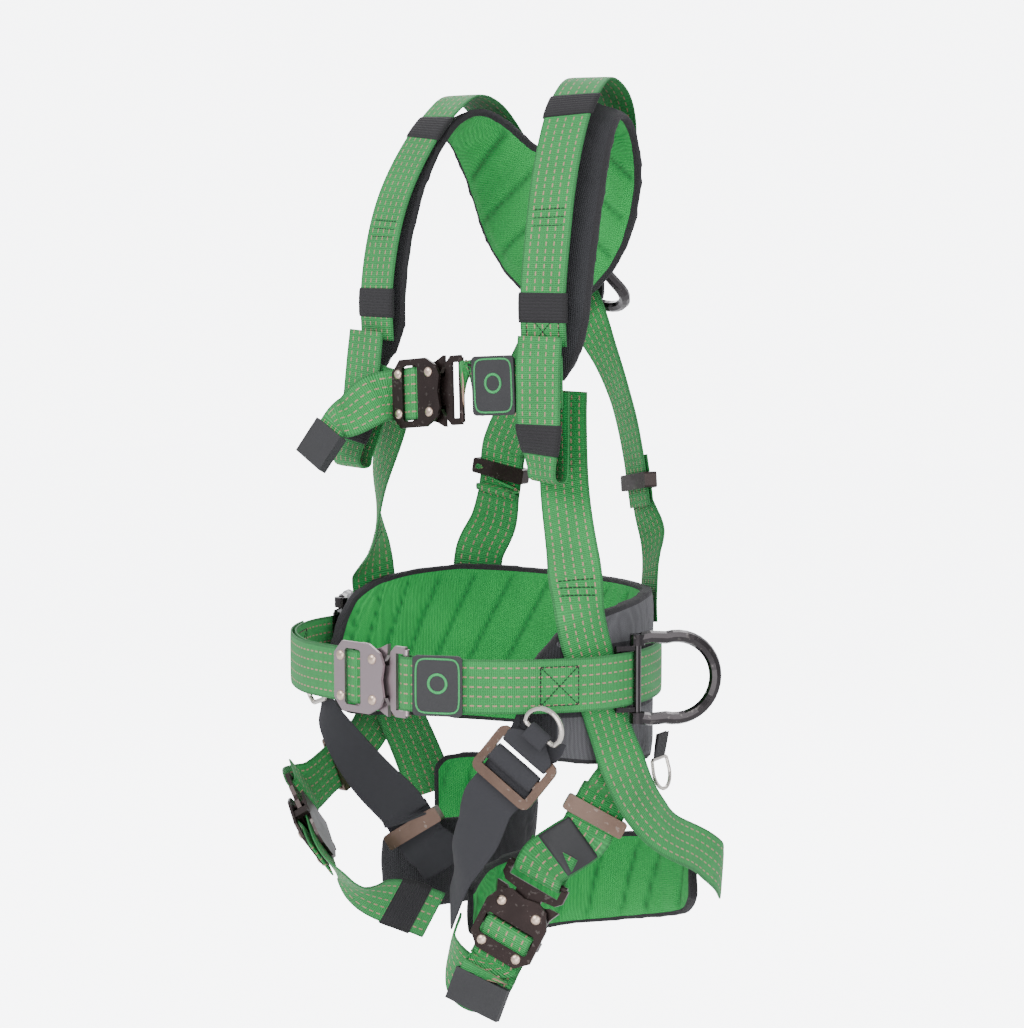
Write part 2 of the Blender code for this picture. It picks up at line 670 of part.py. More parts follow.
CHEST = place_at(graded(-29.0, -52.0, 231.0), graded(1.0, 0.02, 0.10), facing(-2.0, 4.0))
CHEST_END = place_at(graded(-106.0, -93.0, 187.0), Vector((-0.40, -0.40, -0.83)), facing(-11.0, 28.0))
BELT = place_at(belt_station(0.0, 2.0).point, Vector((1.0, 0.0, 0.0)),
                facing(0.0))
BELT_PATCH = place_at(BELT @ Vector((76.0, 0.0, -15.6)), Vector((0.876, 0.482, 0.0)),
                      Vector((0.482, -0.876, 0.0)))
CHEST_PATCH = place_at(graded(55.0, -43.6, 240.2), Vector((1.0, 0.17, 0.06)), facing(9.6, 1.5))
LEG_LEFT = place_at(graded(110.0, -86.0, -204.0), Vector((0.22, 0.52, 0.82)), facing(22.0, 12.0))
LEG_RIGHT = place_at(graded(-122.0, -97.0, -156.0), Vector((-0.76, 0.47, 0.43)),
                     Vector((-0.64, -0.576, -0.5)))
LEG_END = place_at(graded(95.0, -109.0, -258.0), Vector((-0.26, -0.20, -0.94)), facing(17.0, 9.0))
LEG_SLIDER_LEFT = place_at(graded(147.0, -22.0, -116.0), Vector((0.36, 0.33, 0.87)), facing(44.0, 3.0))
LEG_SLIDER_RIGHT = place_at(graded(-171.0, -8.0, -113.0), Vector((0.0, 0.90, 0.42)), facing(-88.0))
GEAR_LOOP = place_at(graded(163.5, 42.0, -74.0), Vector((0.0, 0.0, 1.0)), facing(103.0))
GEAR_TILT = 12.0
VENTRAL_RIGHT = place_at(graded(-139.0, -62.0, -46.0), Vector((-0.30, -0.05, 0.90)), facing(-24.0, 6.0))
RISER_SLIDER = place_at(graded(-54.0, -30.0, -153.0), Vector((-0.45, -0.30, 0.84)), facing(28.0))
RISER_LEFT = place_at(graded(129.0, -102.0, -66.0), Vector((0.42, 0.50, 0.75)), facing(26.0, 8.0))


BACK_LEFT = (28.0, 0.0)
BACK_RIGHT = (9.0, 8.0)
ADJUSTER_RUN = ((73, 172), (75.2, 160), (78.8, 140), (81, 128))


def shoulder_route(side, back_ply, turn_out, spread):
    """One shoulder: from the chest over the shoulder and across the back to the other side.

    side is 1 for the left and -1 for the right. turn_out is how far past straight back the
    strap's face looks once it has crossed, and spread is how far its end stands out.
    """
    rows = [(100, -33.5, 274, 8, 0, 0), (100, -35, 312, 8, 3, 0), (99, -28, 362, 8, 10, 0),
            (95, -16, 405, 8, 18, 0), (88, 4, 446, 8, 32, 0), (82, 24, 473, 8, 52, 0),
            (76, 52, 492, 8, 86, 0), (72, 80, 483, 176, 55, 0), (64, 101, 455, 178, 25, 0),
            (49, 112, 412, 180, 8, 0), (30, 115, 370, 180, 0, back_ply),
            (0, 115, 325, 180, 0, back_ply), (-20, 115, 294, 180 + 0.15 * turn_out, 0, back_ply),
            (-40, 115, 262, 180 + 0.8 * turn_out, 0, back_ply),
            (-55, 115, 232, 180 + turn_out, 0, 0), (-65, 116, 203, 180 + turn_out, 0, 0)]
    rows += [(-x - spread, 116, z, 180 + turn_out, 0, 0) for x, z in ADJUSTER_RUN]
    return [at(side * x, y, z, side * azimuth, tilt, ply) for x, y, z, azimuth, tilt, ply in rows]


def back_route(turn_out, spread):
    """Left back strap, from its slider down to the waist pad's outer face."""
    run = [at(x + spread, 116, z, 180 - turn_out, 0, 1.0) for x, z in ADJUSTER_RUN]
    return run + [at(93, 114, 102, 158, 0, 1.0),
            on_waist(142.0, 76.0, 1.6), on_waist(141.0, 50.0, 1.0), on_waist(140.0, 30.0, 1.0)]


def loop_route(rows):
    """A chest loop: down the front ply, round the bottom and up the back ply."""
    front = []
    back = []
    for x, y, z, azimuth in rows:
        middle = at(x, y, z, azimuth)
        front.append(Station(middle.point + middle.normal * LOOP_HALF_GAP, middle.normal, middle.width))
        back.append(Station(middle.point - middle.normal * LOOP_HALF_GAP, -middle.normal, middle.width))
    bottom = at(*rows[-1])
    down = Vector((0.0, 0.0, -1.0))
    turn = []
    for degrees in (36.0, 72.0, 108.0, 144.0):
        angle = math.radians(degrees)
        way = bottom.normal * math.cos(angle) + down * math.sin(angle)
        turn.append(Station(bottom.point + down * 4.0 + way * LOOP_HALF_GAP, way, bottom.width))
    return front + turn + list(reversed(back[2:]))


LOOP_LEFT = [(100, -33, 282, 6), (100, -35, 258, 6), (101, -36, 236, 5), (102, -36.5, 206, 2),
             (104, -33, 172, -18)]
LOOP_RIGHT = [(-104, -36.5, 282, -6), (-105.5, -38.5, 258, -5), (-107.5, -39.5, 236, -5),
              (-110, -42, 206, -7), (-111, -50, 174, -14)]
BODY_TOP_LEFT = [(98, -5, 236, 8), (98, -6, 213, 10), (104, -12, 158, 18), (128, -30, 106, 28)]
BODY_TOP_RIGHT = [(-100, -8, 236, -6), (-105, -10, 200, -12), (-116, -9, 150, -30),
                  (-132, 4, 106, -52)]


def body_left_route():
    """Left body strap: chest, under the belt, hip, and round the thigh to the leg pad's end."""
    top = [at(*row) for row in BODY_TOP_LEFT]
    waist = [on_waist(69.0, 62.0, 1.3), on_waist(71.5, 36.0, 1.0), on_waist(76.0, 4.0, 1.0),
             on_waist(80.5, -28.0, 1.0), on_waist(82.0, -42.0, 1.6)]
    hip = [at(170, -14, -70, 74, 12), at(176, 2, -104, 70, 26), at(183, 27, -132, 58, 38),
           at(190, 64, -153, 62, 36), at(193, 86, -169, 96, 14), at(186, 100, -181, 122, 0)]
    return top + waist + hip


def body_right_route():
    """Right body strap: chest, under the belt, hip, and down to the leg pad's end."""
    top = [at(*row) for row in BODY_TOP_RIGHT]
    waist = [on_waist(259.0, 62.0, 1.4), on_waist(258.0, 34.0, 1.15), on_waist(256.0, 0.0, 1.15),
             on_waist(253.0, -36.0, 1.15)]
    hip = [at(-156, 58, -76, -108, 4), at(-155, 74, -106, -112, 6), at(-150, 85, -136, -122, 8),
           at(-147, 89, -152, -127, 4)]
    return top + waist + hip


def leg_upper_left_route():
    """From the tongue up through the slider to the waist, under the body strap."""
    ply = [on_waist(84.0, -56.0, 1.0), on_waist(85.0, -74.0, 1.1), at(160, -16, -92, 58, 2)]
    ply += straight(LEG_SLIDER_LEFT, 0.0, (20.0, 10.0, -10.0, -20.0))
    return tongue_turn(LEG_LEFT) + list(reversed(ply))


def leg_upper_right_route():
    """From the tongue up through the slider to the waist, over the body strap."""
    ply = [at(-169, 46, -66, -106, 4), at(-171, 30, -90, -98, 2)]
    ply += straight(LEG_SLIDER_RIGHT, 0.0, (18.0, 9.0, -9.0, -18.0))
    ply += [at(-169, -46, -130, -72, -14)]
    return tongue_turn(LEG_RIGHT) + list(reversed(ply))


def chest_left_route():
    ply = [at(80, -38.6, 242.5, 7, 0), at(100, -36, 244, 5, 0), at(121, -34.5, 244.5, 3, 0)]
    return tongue_turn(CHEST, 5.0) + straight(CHEST_PATCH, 0.0, (-20.0, 20.0)) + ply


def chest_right_route():
    """From the far chest loop to the roll bar, and on as the free end."""
    anchor = [at(-128, -38.8, 236, -4), at(-108, -40.4, 234, -5), at(-89, -41.9, 230.5, -5)]
    tail = [at(-78, -61, 224, 22, 8), at(-91, -77, 210, 2, 20)]
    tail += straight(CHEST_END, 0.0, (-22.0, -15.0, 0.0, 17.0))
    return turned_over(anchor) + roll_turn(CHEST) + tail


def belt_left_route():
    """Left half of the belt, from the tongue round the side to the middle of the back."""
    plies = ((38.0, 2.0), (52.0, 2.0), (64.0, 2.4), (74.0, 3.0), (84.0, 3.0), (94.0, 2.8), (106.0, 2.2),
             (124.0, 2.0), (142.0, 2.0), (160.0, 2.0), (179.8, 2.0))
    under_patch = straight(BELT_PATCH, 0.0, (-21.0, -12.0, 12.0, 21.0))
    return tongue_turn(BELT, 5.0, 7.5) + under_patch + [belt_station(*row) for row in plies]


def belt_right_route():
    """Free end, round the roll bar, and back as the right half of the belt."""
    held = ((-24.0, 2.0), (-36.0, 2.0), (-50.0, 2.2), (-64.0, 2.7), (-74.0, 3.0), (-84.0, 3.0), (-94.0, 2.8),
            (-106.0, 2.6), (-124.0, 2.0), (-142.0, 2.0), (-160.0, 2.0), (-179.8, 2.0))
    free = ((-24.0, 3.1), (-36.0, 3.1), (-50.0, 3.3), (-62.0, 3.8), (-68.0, 4.1))
    back = [belt_station(angle, ply) for angle, ply in held]
    return turned_over(list(reversed(back))) + roll_turn(BELT) + [belt_station(*row) for row in free]


def leg_lower_left_route():
    """From the leg pad's front end, turned in under the buckle, round the bar, and the free end."""
    anchor = [at(41, -71, -210, -45, 0, 0.4), beside(LEG_LEFT, -44.0, 49.0, -33.0, -34.0, -10.0),
              beside(LEG_LEFT, -60.0, 29.0, -23.0, -4.0, 4.0), beside(LEG_LEFT, -60.0, 6.0, -15.0),
              beside(LEG_LEFT, -48.0, 0.0, -11.5)]
    tail = straight(LEG_END, 0.0, (-21.0, -14.5, 0.0, 13.0))
    return turned_over(anchor) + roll_turn(LEG_LEFT) + tail


def leg_lower_right_route():
    """From the leg pad's front end, turned in under the buckle, with a short free end."""
    anchor = [at(-33, -28, -229, 40), at(-44, -52, -217, 34, -1), at(-52, -72, -209, 20, -6),
              at(-59, -92, -200, 2, -14), beside(LEG_RIGHT, -64.0, 18.0, -16.0, -22.0, -22.0),
              beside(LEG_RIGHT, -57.0, 9.0, -13.0, -36.0, -26.0),
              beside(LEG_RIGHT, -47.0, 2.5, -10.9, -46.0, -29.0)]
    tail = [local(LEG_RIGHT, -44.0, -5.6, 0.0, 1.0)]
    return turned_over(anchor) + roll_turn(LEG_RIGHT) + tail


def frame_route(place, rows):
    """Stations in a riser frame's own frame: along, outward and the way the face looks."""
    return [local(place, along, outward, face_along, face_out, width)
            for along, outward, face_along, face_out, width in rows]


def riser_upper_left_route(place):
    """From the belt behind the frame's upper bar, round it, up in front, and round the ring."""
    bar = RISER_BAR / 2.0 + RISER_SLOT
    ply = RISER_FRAME_THICKNESS / 2.0 + TURN_CLEARANCE
    inside = bar - TURN_CLEARANCE
    full, tab = WEBBING_WIDTH, RING_TAB_WIDTH
    ring, lift = VENTRAL_PIVOT
    turn = SMALL_RING_WIRE + TURN_CLEARANCE
    top = [on_waist(58.5, -15.0, 1.0), on_waist(56.5, -31.0, 1.3)]
    rows = [(bar + 21.0, -ply - 1.4, 0.0, -1.0, full), (bar + 11.0, -ply - 0.6, 0.0, -1.0, full),
            (bar + 3.0, -ply, 0.0, -1.0, full),
            (bar - 0.4, -ply, -0.3, -0.95, full), (inside - 0.2, -ply + 1.3, -0.87, -0.5, full),
            (inside - 0.4, 0.0, -1.0, 0.0, full), (inside - 0.2, ply - 1.3, -0.87, 0.5, full),
            (bar - 0.4, ply, -0.3, 0.95, full), (bar + 3.0, ply, 0.0, 1.0, full),
            (ring - 13.0, lift - turn, 0.0, 1.0, full), (ring - 5.0, lift - turn, 0.0, 1.0, tab)]
    rows.append((ring, lift - turn, 0.0, 1.0, tab))
    fold = [(ring + turn * math.sin(math.radians(a)), lift - turn * math.cos(math.radians(a)),
             -math.sin(math.radians(a)), math.cos(math.radians(a)), tab) for a in (45, 90, 135, 180)]
    end = [(ring - 10.0, lift + turn, 0.0, -1.0, tab)]
    return turned_over(top) + frame_route(place, rows + fold + end)


def riser_lower_left_route(place):
    """Free end behind, round the frame's middle bar, behind its lower bar and to the leg pad."""
    full = WEBBING_WIDTH
    rows = [(-30.0, -7.6, 0.0, -1.0, full), (-8.0, -7.6, 0.0, -1.0, full),
            (0.0, -6.4, 0.3, -0.95, full), (5.4, -3.6, 0.85, -0.5, full), (6.9, 0.0, 1.0, 0.0, full),
            (5.3, 3.5, 0.6, 0.8, full), (1.2, 4.2, 0.0, 1.0, full), (-1.6, 4.2, 0.0, 1.0, full),
            (-4.9, 3.5, -0.5, 0.87, full), (-7.0, 0.8, -0.93, 0.37, full),
            (-8.3, -2.0, -0.85, 0.5, full), (-11.0, -3.9, -0.35, 0.94, full),
            (-15.5, -4.3, 0.0, 1.0, full), (-26.0, -4.3, 0.0, 1.0, full),
            (-38.0, -5.0, 0.0, 1.0, full)]
    bottom = [at(92, -106, -124, 6), at(71, -103, -154, -22), at(53, -90, -181, -42),
              at(44, -75, -201, -46, 0, 2.5)]
    return frame_route(place, rows) + bottom


def gear_loop_route():
    """A small tab on the waist pad's lower edge, folded round the gear ring's wire."""
    turn = GEAR_RING_WIRE + TURN_CLEARANCE
    front = [local(GEAR_LOOP, 22.0, turn, 0.0, 1.0, GEAR_TAB_WIDTH)]
    fold = [local(GEAR_LOOP, -turn * math.sin(math.radians(a)), turn * math.cos(math.radians(a)),
                  -math.sin(math.radians(a)), math.cos(math.radians(a)), GEAR_TAB_WIDTH)
            for a in (0, 45, 90, 135, 180)]
    back = [local(GEAR_LOOP, 8.0, -turn, 0.0, -1.0, GEAR_TAB_WIDTH)]
    return front + fold + back


def riser_upper_right_route():
    """Right riser, from the belt, twisting down into its slider."""
    top = [on_waist(-70.5, -10.0, 1.0), on_waist(-70.0, -28.0, 1.4), at(-139, -55, -54, -26, 0),
           at(-120, -53, -80, -4, 0), at(-94, -43, -112, 18, 0)]
    return top + straight(RISER_SLIDER, PLY_PITCH, (21.0, 12.0, -12.0, -17.0))


def riser_lower_right_route():
    """The right leg pad's short riser, up into the slider under the upper one."""
    top = straight(RISER_SLIDER, 0.0, (17.0, 10.0, -10.0, -16.0))
    return top + [at(-40, -18, -175, 36), at(-35, -9, -190, 46)]


# ---------------------------------------------------------------------------------------------
# Pads
# ---------------------------------------------------------------------------------------------

YOKE_ROWS = [
    ((90, -31, 262), (112, -26, 240)), ((76, -33, 286), (130, -22, 270)),
    ((73, -34, 316), (139, -22, 308)), ((73, -27, 364), (138, -12, 356)),
    ((70, -16, 408), (135, 2, 398)), ((64, 3, 450), (128, 20, 436)),
    ((58, 27, 478), (121, 40, 460)), ((48, 56, 486), (114, 62, 466)),
    ((38, 84, 472), (110, 84, 446)), ((24, 99, 452), (102, 100, 404)),
    ((11, 103, 443), (82, 105, 352)), ((0, 104, 440), (46, 107, 314)),
]


def yoke_mesh():
    """The shoulder pad: the left half's two edges, the soft middle, and the right half's."""
    middle = ((0, 104, 440), (0, 108, 300))
    soft = tuple((a + b) / 2.0 for a, b in zip(YOKE_ROWS[-1][0], YOKE_ROWS[-2][0]))
    half = [*YOKE_ROWS[:-1], (soft, YOKE_ROWS[-1][1])]
    rows = [(graded(*inner), graded(*outer)) for inner, outer in [*half, middle]]
    rows += [(graded(-inner[0], *inner[1:]), graded(-outer[0], *outer[1:]))
             for inner, outer in reversed(half)]
    return edge_pad_mesh(rows, SHOULDER_PAD_THICKNESS, PLY_GAP + WEBBING_THICKNESS / 2.0)


def edge_pad_mesh(rows, thickness, sink, steps=2, across=3):
    """A pad between two edges. Its outer face lies below the rows by sink, its body below that."""
    inner = smooth_route([Station(a, b - a, 1.0) for a, b in rows], steps)
    outer = smooth_route([Station(b, b - a, 1.0) for a, b in rows], steps)
    grid = [[a.point.lerp(b.point, k / across) for k in range(across + 1)]
            for a, b in zip(inner, outer)]
    return shell_from_grid(grid, thickness, sink)


def shell_from_grid(grid, thickness, sink):
    """A closed shell whose outer face is the grid pushed in by sink."""
    rows, columns = len(grid), len(grid[0])
    build = bmesh.new()
    outer, inner = [], []
    for i in range(rows):
        outer_row, inner_row = [], []
        for j in range(columns):
            along = grid[min(i + 1, rows - 1)][j] - grid[max(i - 1, 0)][j]
            across = grid[i][min(j + 1, columns - 1)] - grid[i][max(j - 1, 0)]
            normal = across.cross(along).normalized()
            outer_row.append(build.verts.new(grid[i][j] - normal * sink))
            inner_row.append(build.verts.new(grid[i][j] - normal * (sink + thickness)))
        outer.append(outer_row)
        inner.append(inner_row)
    for i in range(rows - 1):
        for j in range(columns - 1):
            build.faces.new((outer[i][j], outer[i][j + 1], outer[i + 1][j + 1], outer[i + 1][j]))
            build.faces.new((inner[i][j], inner[i + 1][j], inner[i + 1][j + 1], inner[i][j + 1]))
    for j in range(columns - 1):
        build.faces.new((outer[0][j], inner[0][j], inner[0][j + 1], outer[0][j + 1]))
        build.faces.new((outer[-1][j], outer[-1][j + 1], inner[-1][j + 1], inner[-1][j]))
    for i in range(rows - 1):
        build.faces.new((outer[i][0], outer[i + 1][0], inner[i + 1][0], inner[i][0]))
        build.faces.new((outer[i][-1], inner[i][-1], inner[i + 1][-1], outer[i + 1][-1]))
    bmesh.ops.triangulate(build, faces=build.faces)
    return mesh_from(build)


WAIST_TOP = ((0, 66), (58, 68), (80, 62), (95, 55), (107, 42), (115, 22), (121, -2))
WAIST_BOTTOM = ((0, -84), (42, -82), (60, -80), (76, -76), (92, -74), (110, -68), (117, -58),
                (121, -44))


def edge_height(table, reach):
    """A pad edge's height at an angle from the pad's middle, read along straight runs."""
    for (low, first), (high, second) in zip(table, table[1:]):
        if reach <= high:
            return first + (second - first) * (reach - low) / (high - low)
    return table[-1][1]


def waist_pad_mesh():
    """The waist pad: the torso's ellipse between the top and bottom edges."""
    grid = []
    count = 34
    for i in range(count + 1):
        reach = WAIST_PAD_REACH * (2.0 * i / count - 1.0)
        top = edge_height(WAIST_TOP, abs(reach))
        bottom = edge_height(WAIST_BOTTOM, abs(reach))
        row = [on_waist(WAIST_PAD_TURN - reach, bottom + (top - bottom) * k / 3.0, 0.0).point
               for k in range(4)]
        grid.append(row)
    return shell_from_grid(grid, WAIST_PAD_THICKNESS, -WEBBING_THICKNESS / 2.0)


def leg_pad_mesh(stations):
    """A leg pad: a padded band under its stations, with drawn-in ends."""
    return band_mesh(stations, LEG_PAD_THICKNESS, steps=3, outward=0.0, rounded=True)


LEG_PAD_LEFT = [(42, -72, -205, -45, 0, 58), (24, -22, -206, -80, 0, 74), (28, 40, -204, -120, 0, 80),
                (58, 88, -200, -150, 0, 84), (105, 108, -193, 180, 0, 82), (150, 104, -188, 150, 0, 70),
                (179, 82, -184, 128, 0, 46)]
LEG_PAD_RIGHT = [(-97, -34, -190, 4, 0, 58), (-69, -24, -190, 26, 0, 82), (-41, -1, -188, 52, 0, 84),
                 (-24, 31, -184, 78, 0, 78), (-14, 66, -174, 98, 0, 66), (-20, 98, -164, 140, 0, 58),
                 (-50, 117, -154, 180, 0, 68), (-96, 114, -148, 205, 0, 80),
                 (-130, 96, -147, 228, 0, 72), (-143, 84, -147, 238, 0, 60)]


def pad_stations(rows):
    return [at(x, y, z, azimuth, tilt, 0.0, width) for x, y, z, azimuth, tilt, width in rows]


# ---------------------------------------------------------------------------------------------
# Assembly
# ---------------------------------------------------------------------------------------------

def add_band(name, stations, finish="webbing", **options):
    return add_object(name, band_mesh(stations, **options), finish, smooth=False)


def add_straps():
    add_band("shoulder_strap_left", shoulder_route(1, 1.0, *BACK_RIGHT))
    add_band("shoulder_strap_right", shoulder_route(-1, 0.0, *BACK_LEFT))
    add_band("back_strap_left", back_route(*BACK_LEFT))
    add_band("back_strap_right", mirrored(back_route(*BACK_RIGHT)))
    add_band("sternal_loop_left", loop_route(LOOP_LEFT), steps=2)
    add_band("sternal_loop_right", loop_route(LOOP_RIGHT), steps=2)
    add_band("body_strap_left", body_left_route(), across=4)
    add_band("body_strap_right", body_right_route(), across=4)
    add_band("chest_strap_left", chest_left_route(), steps=2)
    add_band("chest_strap_right", chest_right_route(), steps=2)
    add_band("belt_strap_left", belt_left_route(), steps=2)
    add_band("belt_strap_right", belt_right_route(), steps=2)
    add_band("leg_strap_upper_left", leg_upper_left_route(), steps=2)
    add_band("leg_strap_upper_right", leg_upper_right_route(), steps=2)
    add_band("leg_strap_lower_left", leg_lower_left_route(), steps=2)
    add_band("leg_strap_lower_right", leg_lower_right_route(), steps=2)


def add_risers():
    add_band("riser_upper_left", riser_upper_left_route(RISER_LEFT), "black_webbing", steps=2)
    add_band("riser_lower_left", riser_lower_left_route(RISER_LEFT), "black_webbing", steps=2)
    add_band("riser_upper_right", riser_upper_right_route(), "black_webbing", across=4)
    add_band("riser_lower_right", riser_lower_right_route(), "black_webbing")
    add_object("riser_frame_left", riser_frame_mesh(), "bronze", RISER_LEFT)
    place = RISER_SLIDER @ Matrix.Translation((0.0, 0.0, PLY_PITCH / 2.0))
    add_object("riser_slider_right", slider_mesh(2, SLIDER_LENGTH), "bronze", place)


def add_pads():
    add_object("shoulder_yoke", yoke_mesh(), "pad")
    add_object("waist_pad", waist_pad_mesh(), "pad")
    add_object("leg_pad_left", leg_pad_mesh(lifted(pad_stations(LEG_PAD_LEFT), -2.2)), "pad")
    add_object("leg_pad_right", leg_pad_mesh(lifted(pad_stations(LEG_PAD_RIGHT), -2.2)), "pad")


def add_buckles():
    meshes = (buckle_body_mesh(), tongue_mesh(), {1.0: lever_mesh(1.0), -1.0: lever_mesh(-1.0)})
    for name, place, finish in (("chest", CHEST, "dark_metal"), ("belt", BELT, "mauve_metal"),
                                ("leg_left", LEG_LEFT, "dark_metal"),
                                ("leg_right", LEG_RIGHT, "dark_metal")):
        add_buckle(name, place, finish, meshes)


def add_side_rings():
    frame_mesh, ring_mesh = side_frame_mesh(), side_ring_mesh()
    for label, side in (("left", 1.0), ("right", -1.0)):
        reach = TORSO_WIDTH / 2.0 + side_pin_lift()
        pin = Matrix.Translation((side * reach, 0.0, 0.0))
        flip = Matrix.Scale(side, 4, (1.0, 0.0, 0.0))
        bracket = frame_mesh.copy()
        bracket.transform(flip)
        ring = ring_mesh.copy()
        ring.transform(Matrix.Rotation(math.radians(90.0 - 35.0), 4, "Z"))
        ring.transform(flip)
        if side < 0:
            bracket.flip_normals()
            ring.flip_normals()
        add_object(f"side_ring_frame_{label}", bracket, "dark_metal", pin)
        add_object(f"side_ring_{label}", ring, "dark_metal", pin)


def d_ring_mesh(size, radius):
    """A closed D ring with its straight bar on the hinge."""
    return wire(d_ring_points(*size), radius, closed=True)


def slotted_cap_mesh(length):
    """A cap over a strap's end: a block with a pocket open towards -X."""
    room = WEBBING_THICKNESS + 2.0 * SEWN_GAP
    body = box((length, WEBBING_WIDTH + 2.0 * CAP_WALL + 2.0, room + 2.0 * CAP_WALL))
    pocket = box((length, WEBBING_WIDTH + 2.0, room), (-CAP_WALL, 0.0, 0.0))
    return combine(body, [pocket], "DIFFERENCE")


def dorsal_plate_mesh(pivot):
    """The plate over the crossed back straps, with a bridge that holds the ring's bar."""
    width, height, thick = DORSAL_PLATE
    plate = slab(rounded_outline(height, width, 10.0), 0.0, thick)
    room = DORSAL_RING_WIRE + HINGE_GAP
    top = pivot + room + 3.0
    bridge = box((2.0 * (room + 3.5), 2.0 * DORSAL_BRIDGE, top - thick + 1.0),
                 (0.0, 0.0, (top + thick - 1.0) / 2.0))
    solid = combine(plate, [bridge], "UNION")
    return combine(solid, [rod(room, 90.0, "Y", (0.0, 0.0, pivot), 18)], "DIFFERENCE")


def add_patches():
    """The soft patches on the chest strap and on the belt."""
    outline = rounded_outline(PATCH_LENGTH, PATCH_WIDTH, 4.0)
    lift = WEBBING_THICKNESS / 2.0 + SEWN_GAP
    mesh = slab(outline, lift, lift + PATCH_THICKNESS)
    add_object("chest_patch", mesh, "rubber", CHEST_PATCH)
    add_object("belt_patch", mesh.copy(), "rubber", BELT_PATCH)


def add_ends():
    """Caps over the free ends of the chest strap and of the left leg strap."""
    for name, place, reach, length in (("chest_strap_end", CHEST_END, 17.0, CAP_LENGTH),
                                       ("leg_strap_end", LEG_END, 13.0, LEG_CAP_LENGTH)):
        beyond = Matrix.Translation((reach + CAP_WALL + 1.0 - length / 2.0, 0.0, 0.0))
        add_object(name, slotted_cap_mesh(length), "rubber", place @ beyond)


def add_rings():
    """Ventral rings on the risers, the ring on the crossed back straps and the gear loop's ring."""
    along, lift = VENTRAL_PIVOT
    tilt = Matrix.Rotation(math.radians(-VENTRAL_TILT), 4, "Y")
    place = RISER_LEFT @ Matrix.Translation((along, 0.0, lift)) @ tilt
    mesh = d_ring_mesh(VENTRAL_RING_SIZE, SMALL_RING_WIRE)
    add_object("ventral_ring_left", mesh, "steel", place)
    place = VENTRAL_RIGHT @ Matrix.Rotation(math.radians(-VENTRAL_TILT), 4, "Y")
    add_object("ventral_ring_right", mesh.copy(), "steel", place)
    gear = d_ring_mesh(GEAR_RING_SIZE, GEAR_RING_WIRE)
    hanging = GEAR_LOOP @ Matrix.Rotation(math.radians(180.0 + GEAR_TILT), 4, "Y")
    add_object("gear_ring_left", gear, "steel", hanging)
    add_band("gear_loop_left", gear_loop_route(), "black_webbing", steps=2)
    behind = WEBBING_THICKNESS / 2.0 + SEWN_GAP
    outer_face = graded(0.0, 115.0, 0.0).y + PLY_PITCH + behind
    pivot = DORSAL_PLATE[2] + DORSAL_RING_WIRE + HINGE_GAP + 0.4
    centre = Vector((0.0, outer_face, graded(0.0, 0.0, 334.0).z))
    back = place_at(centre, Vector((0.0, 0.0, 1.0)), Vector((0.0, 1.0, 0.0)))
    add_object("dorsal_plate", dorsal_plate_mesh(pivot), "rubber", back)
    lean = Matrix.Rotation(math.radians(-(90.0 - DORSAL_TILT)), 4, "Y")
    ring = back @ Matrix.Translation((0.0, 0.0, pivot)) @ lean
    add_object("dorsal_ring", d_ring_mesh(DORSAL_RING_SIZE, DORSAL_RING_WIRE), "dark_metal", ring)


def add_sliders():
    """Sliders on the leg straps and the adjusters of the back straps."""
    for side, place in (("left", LEG_SLIDER_LEFT), ("right", LEG_SLIDER_RIGHT)):
        add_object(f"leg_slider_{side}", slider_mesh(1, SLIDER_LENGTH), "bronze", place)
    for side, route in (("left", back_route(*BACK_LEFT)),
                        ("right", mirrored(back_route(*BACK_RIGHT)))):
        place = place_on_route(route, (route[1].point + route[2].point) / 2.0, steps=2)
        place = place @ Matrix.Translation((0.0, 0.0, -PLY_PITCH / 2.0))
        add_object(f"back_adjuster_{side}", slider_mesh(2, SLIDER_LENGTH), "dark_metal", place)


def main():
    clear_scene()
    add_straps()
    add_risers()
    add_pads()
    add_buckles()
    add_side_rings()
    add_patches()
    add_ends()
    add_rings()
    add_sliders()


main()
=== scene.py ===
"""Full-body climbing harness: webbing, padded pieces, fittings, floor, lights and camera."""
import logging
import math
from dataclasses import dataclass, field
from enum import Enum

import bpy
import numpy as np
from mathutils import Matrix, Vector
from mathutils.bvhtree import BVHTree


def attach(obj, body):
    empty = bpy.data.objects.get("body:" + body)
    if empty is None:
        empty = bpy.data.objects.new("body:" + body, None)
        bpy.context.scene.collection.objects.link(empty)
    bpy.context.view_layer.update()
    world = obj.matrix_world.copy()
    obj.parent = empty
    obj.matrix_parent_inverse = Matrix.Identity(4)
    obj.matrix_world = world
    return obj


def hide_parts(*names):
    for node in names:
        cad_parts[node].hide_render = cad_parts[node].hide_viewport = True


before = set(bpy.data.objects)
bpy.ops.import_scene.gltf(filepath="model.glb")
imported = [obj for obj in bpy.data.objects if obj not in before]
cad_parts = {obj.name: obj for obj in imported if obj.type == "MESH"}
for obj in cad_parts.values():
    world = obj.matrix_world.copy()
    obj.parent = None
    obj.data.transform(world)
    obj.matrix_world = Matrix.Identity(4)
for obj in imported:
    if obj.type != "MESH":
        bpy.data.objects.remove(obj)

logging.basicConfig(level=logging.INFO, format="%(message)s")
LOG = logging.getLogger("harness")
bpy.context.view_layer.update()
ROOT = "harness"
MM = 0.001
SIM_FRAMES = 14
FLOOR_HEIGHT = -0.42
GLOW = 6.0


# ---------------------------------------------------------------------------------------------
# Node trees
# ---------------------------------------------------------------------------------------------

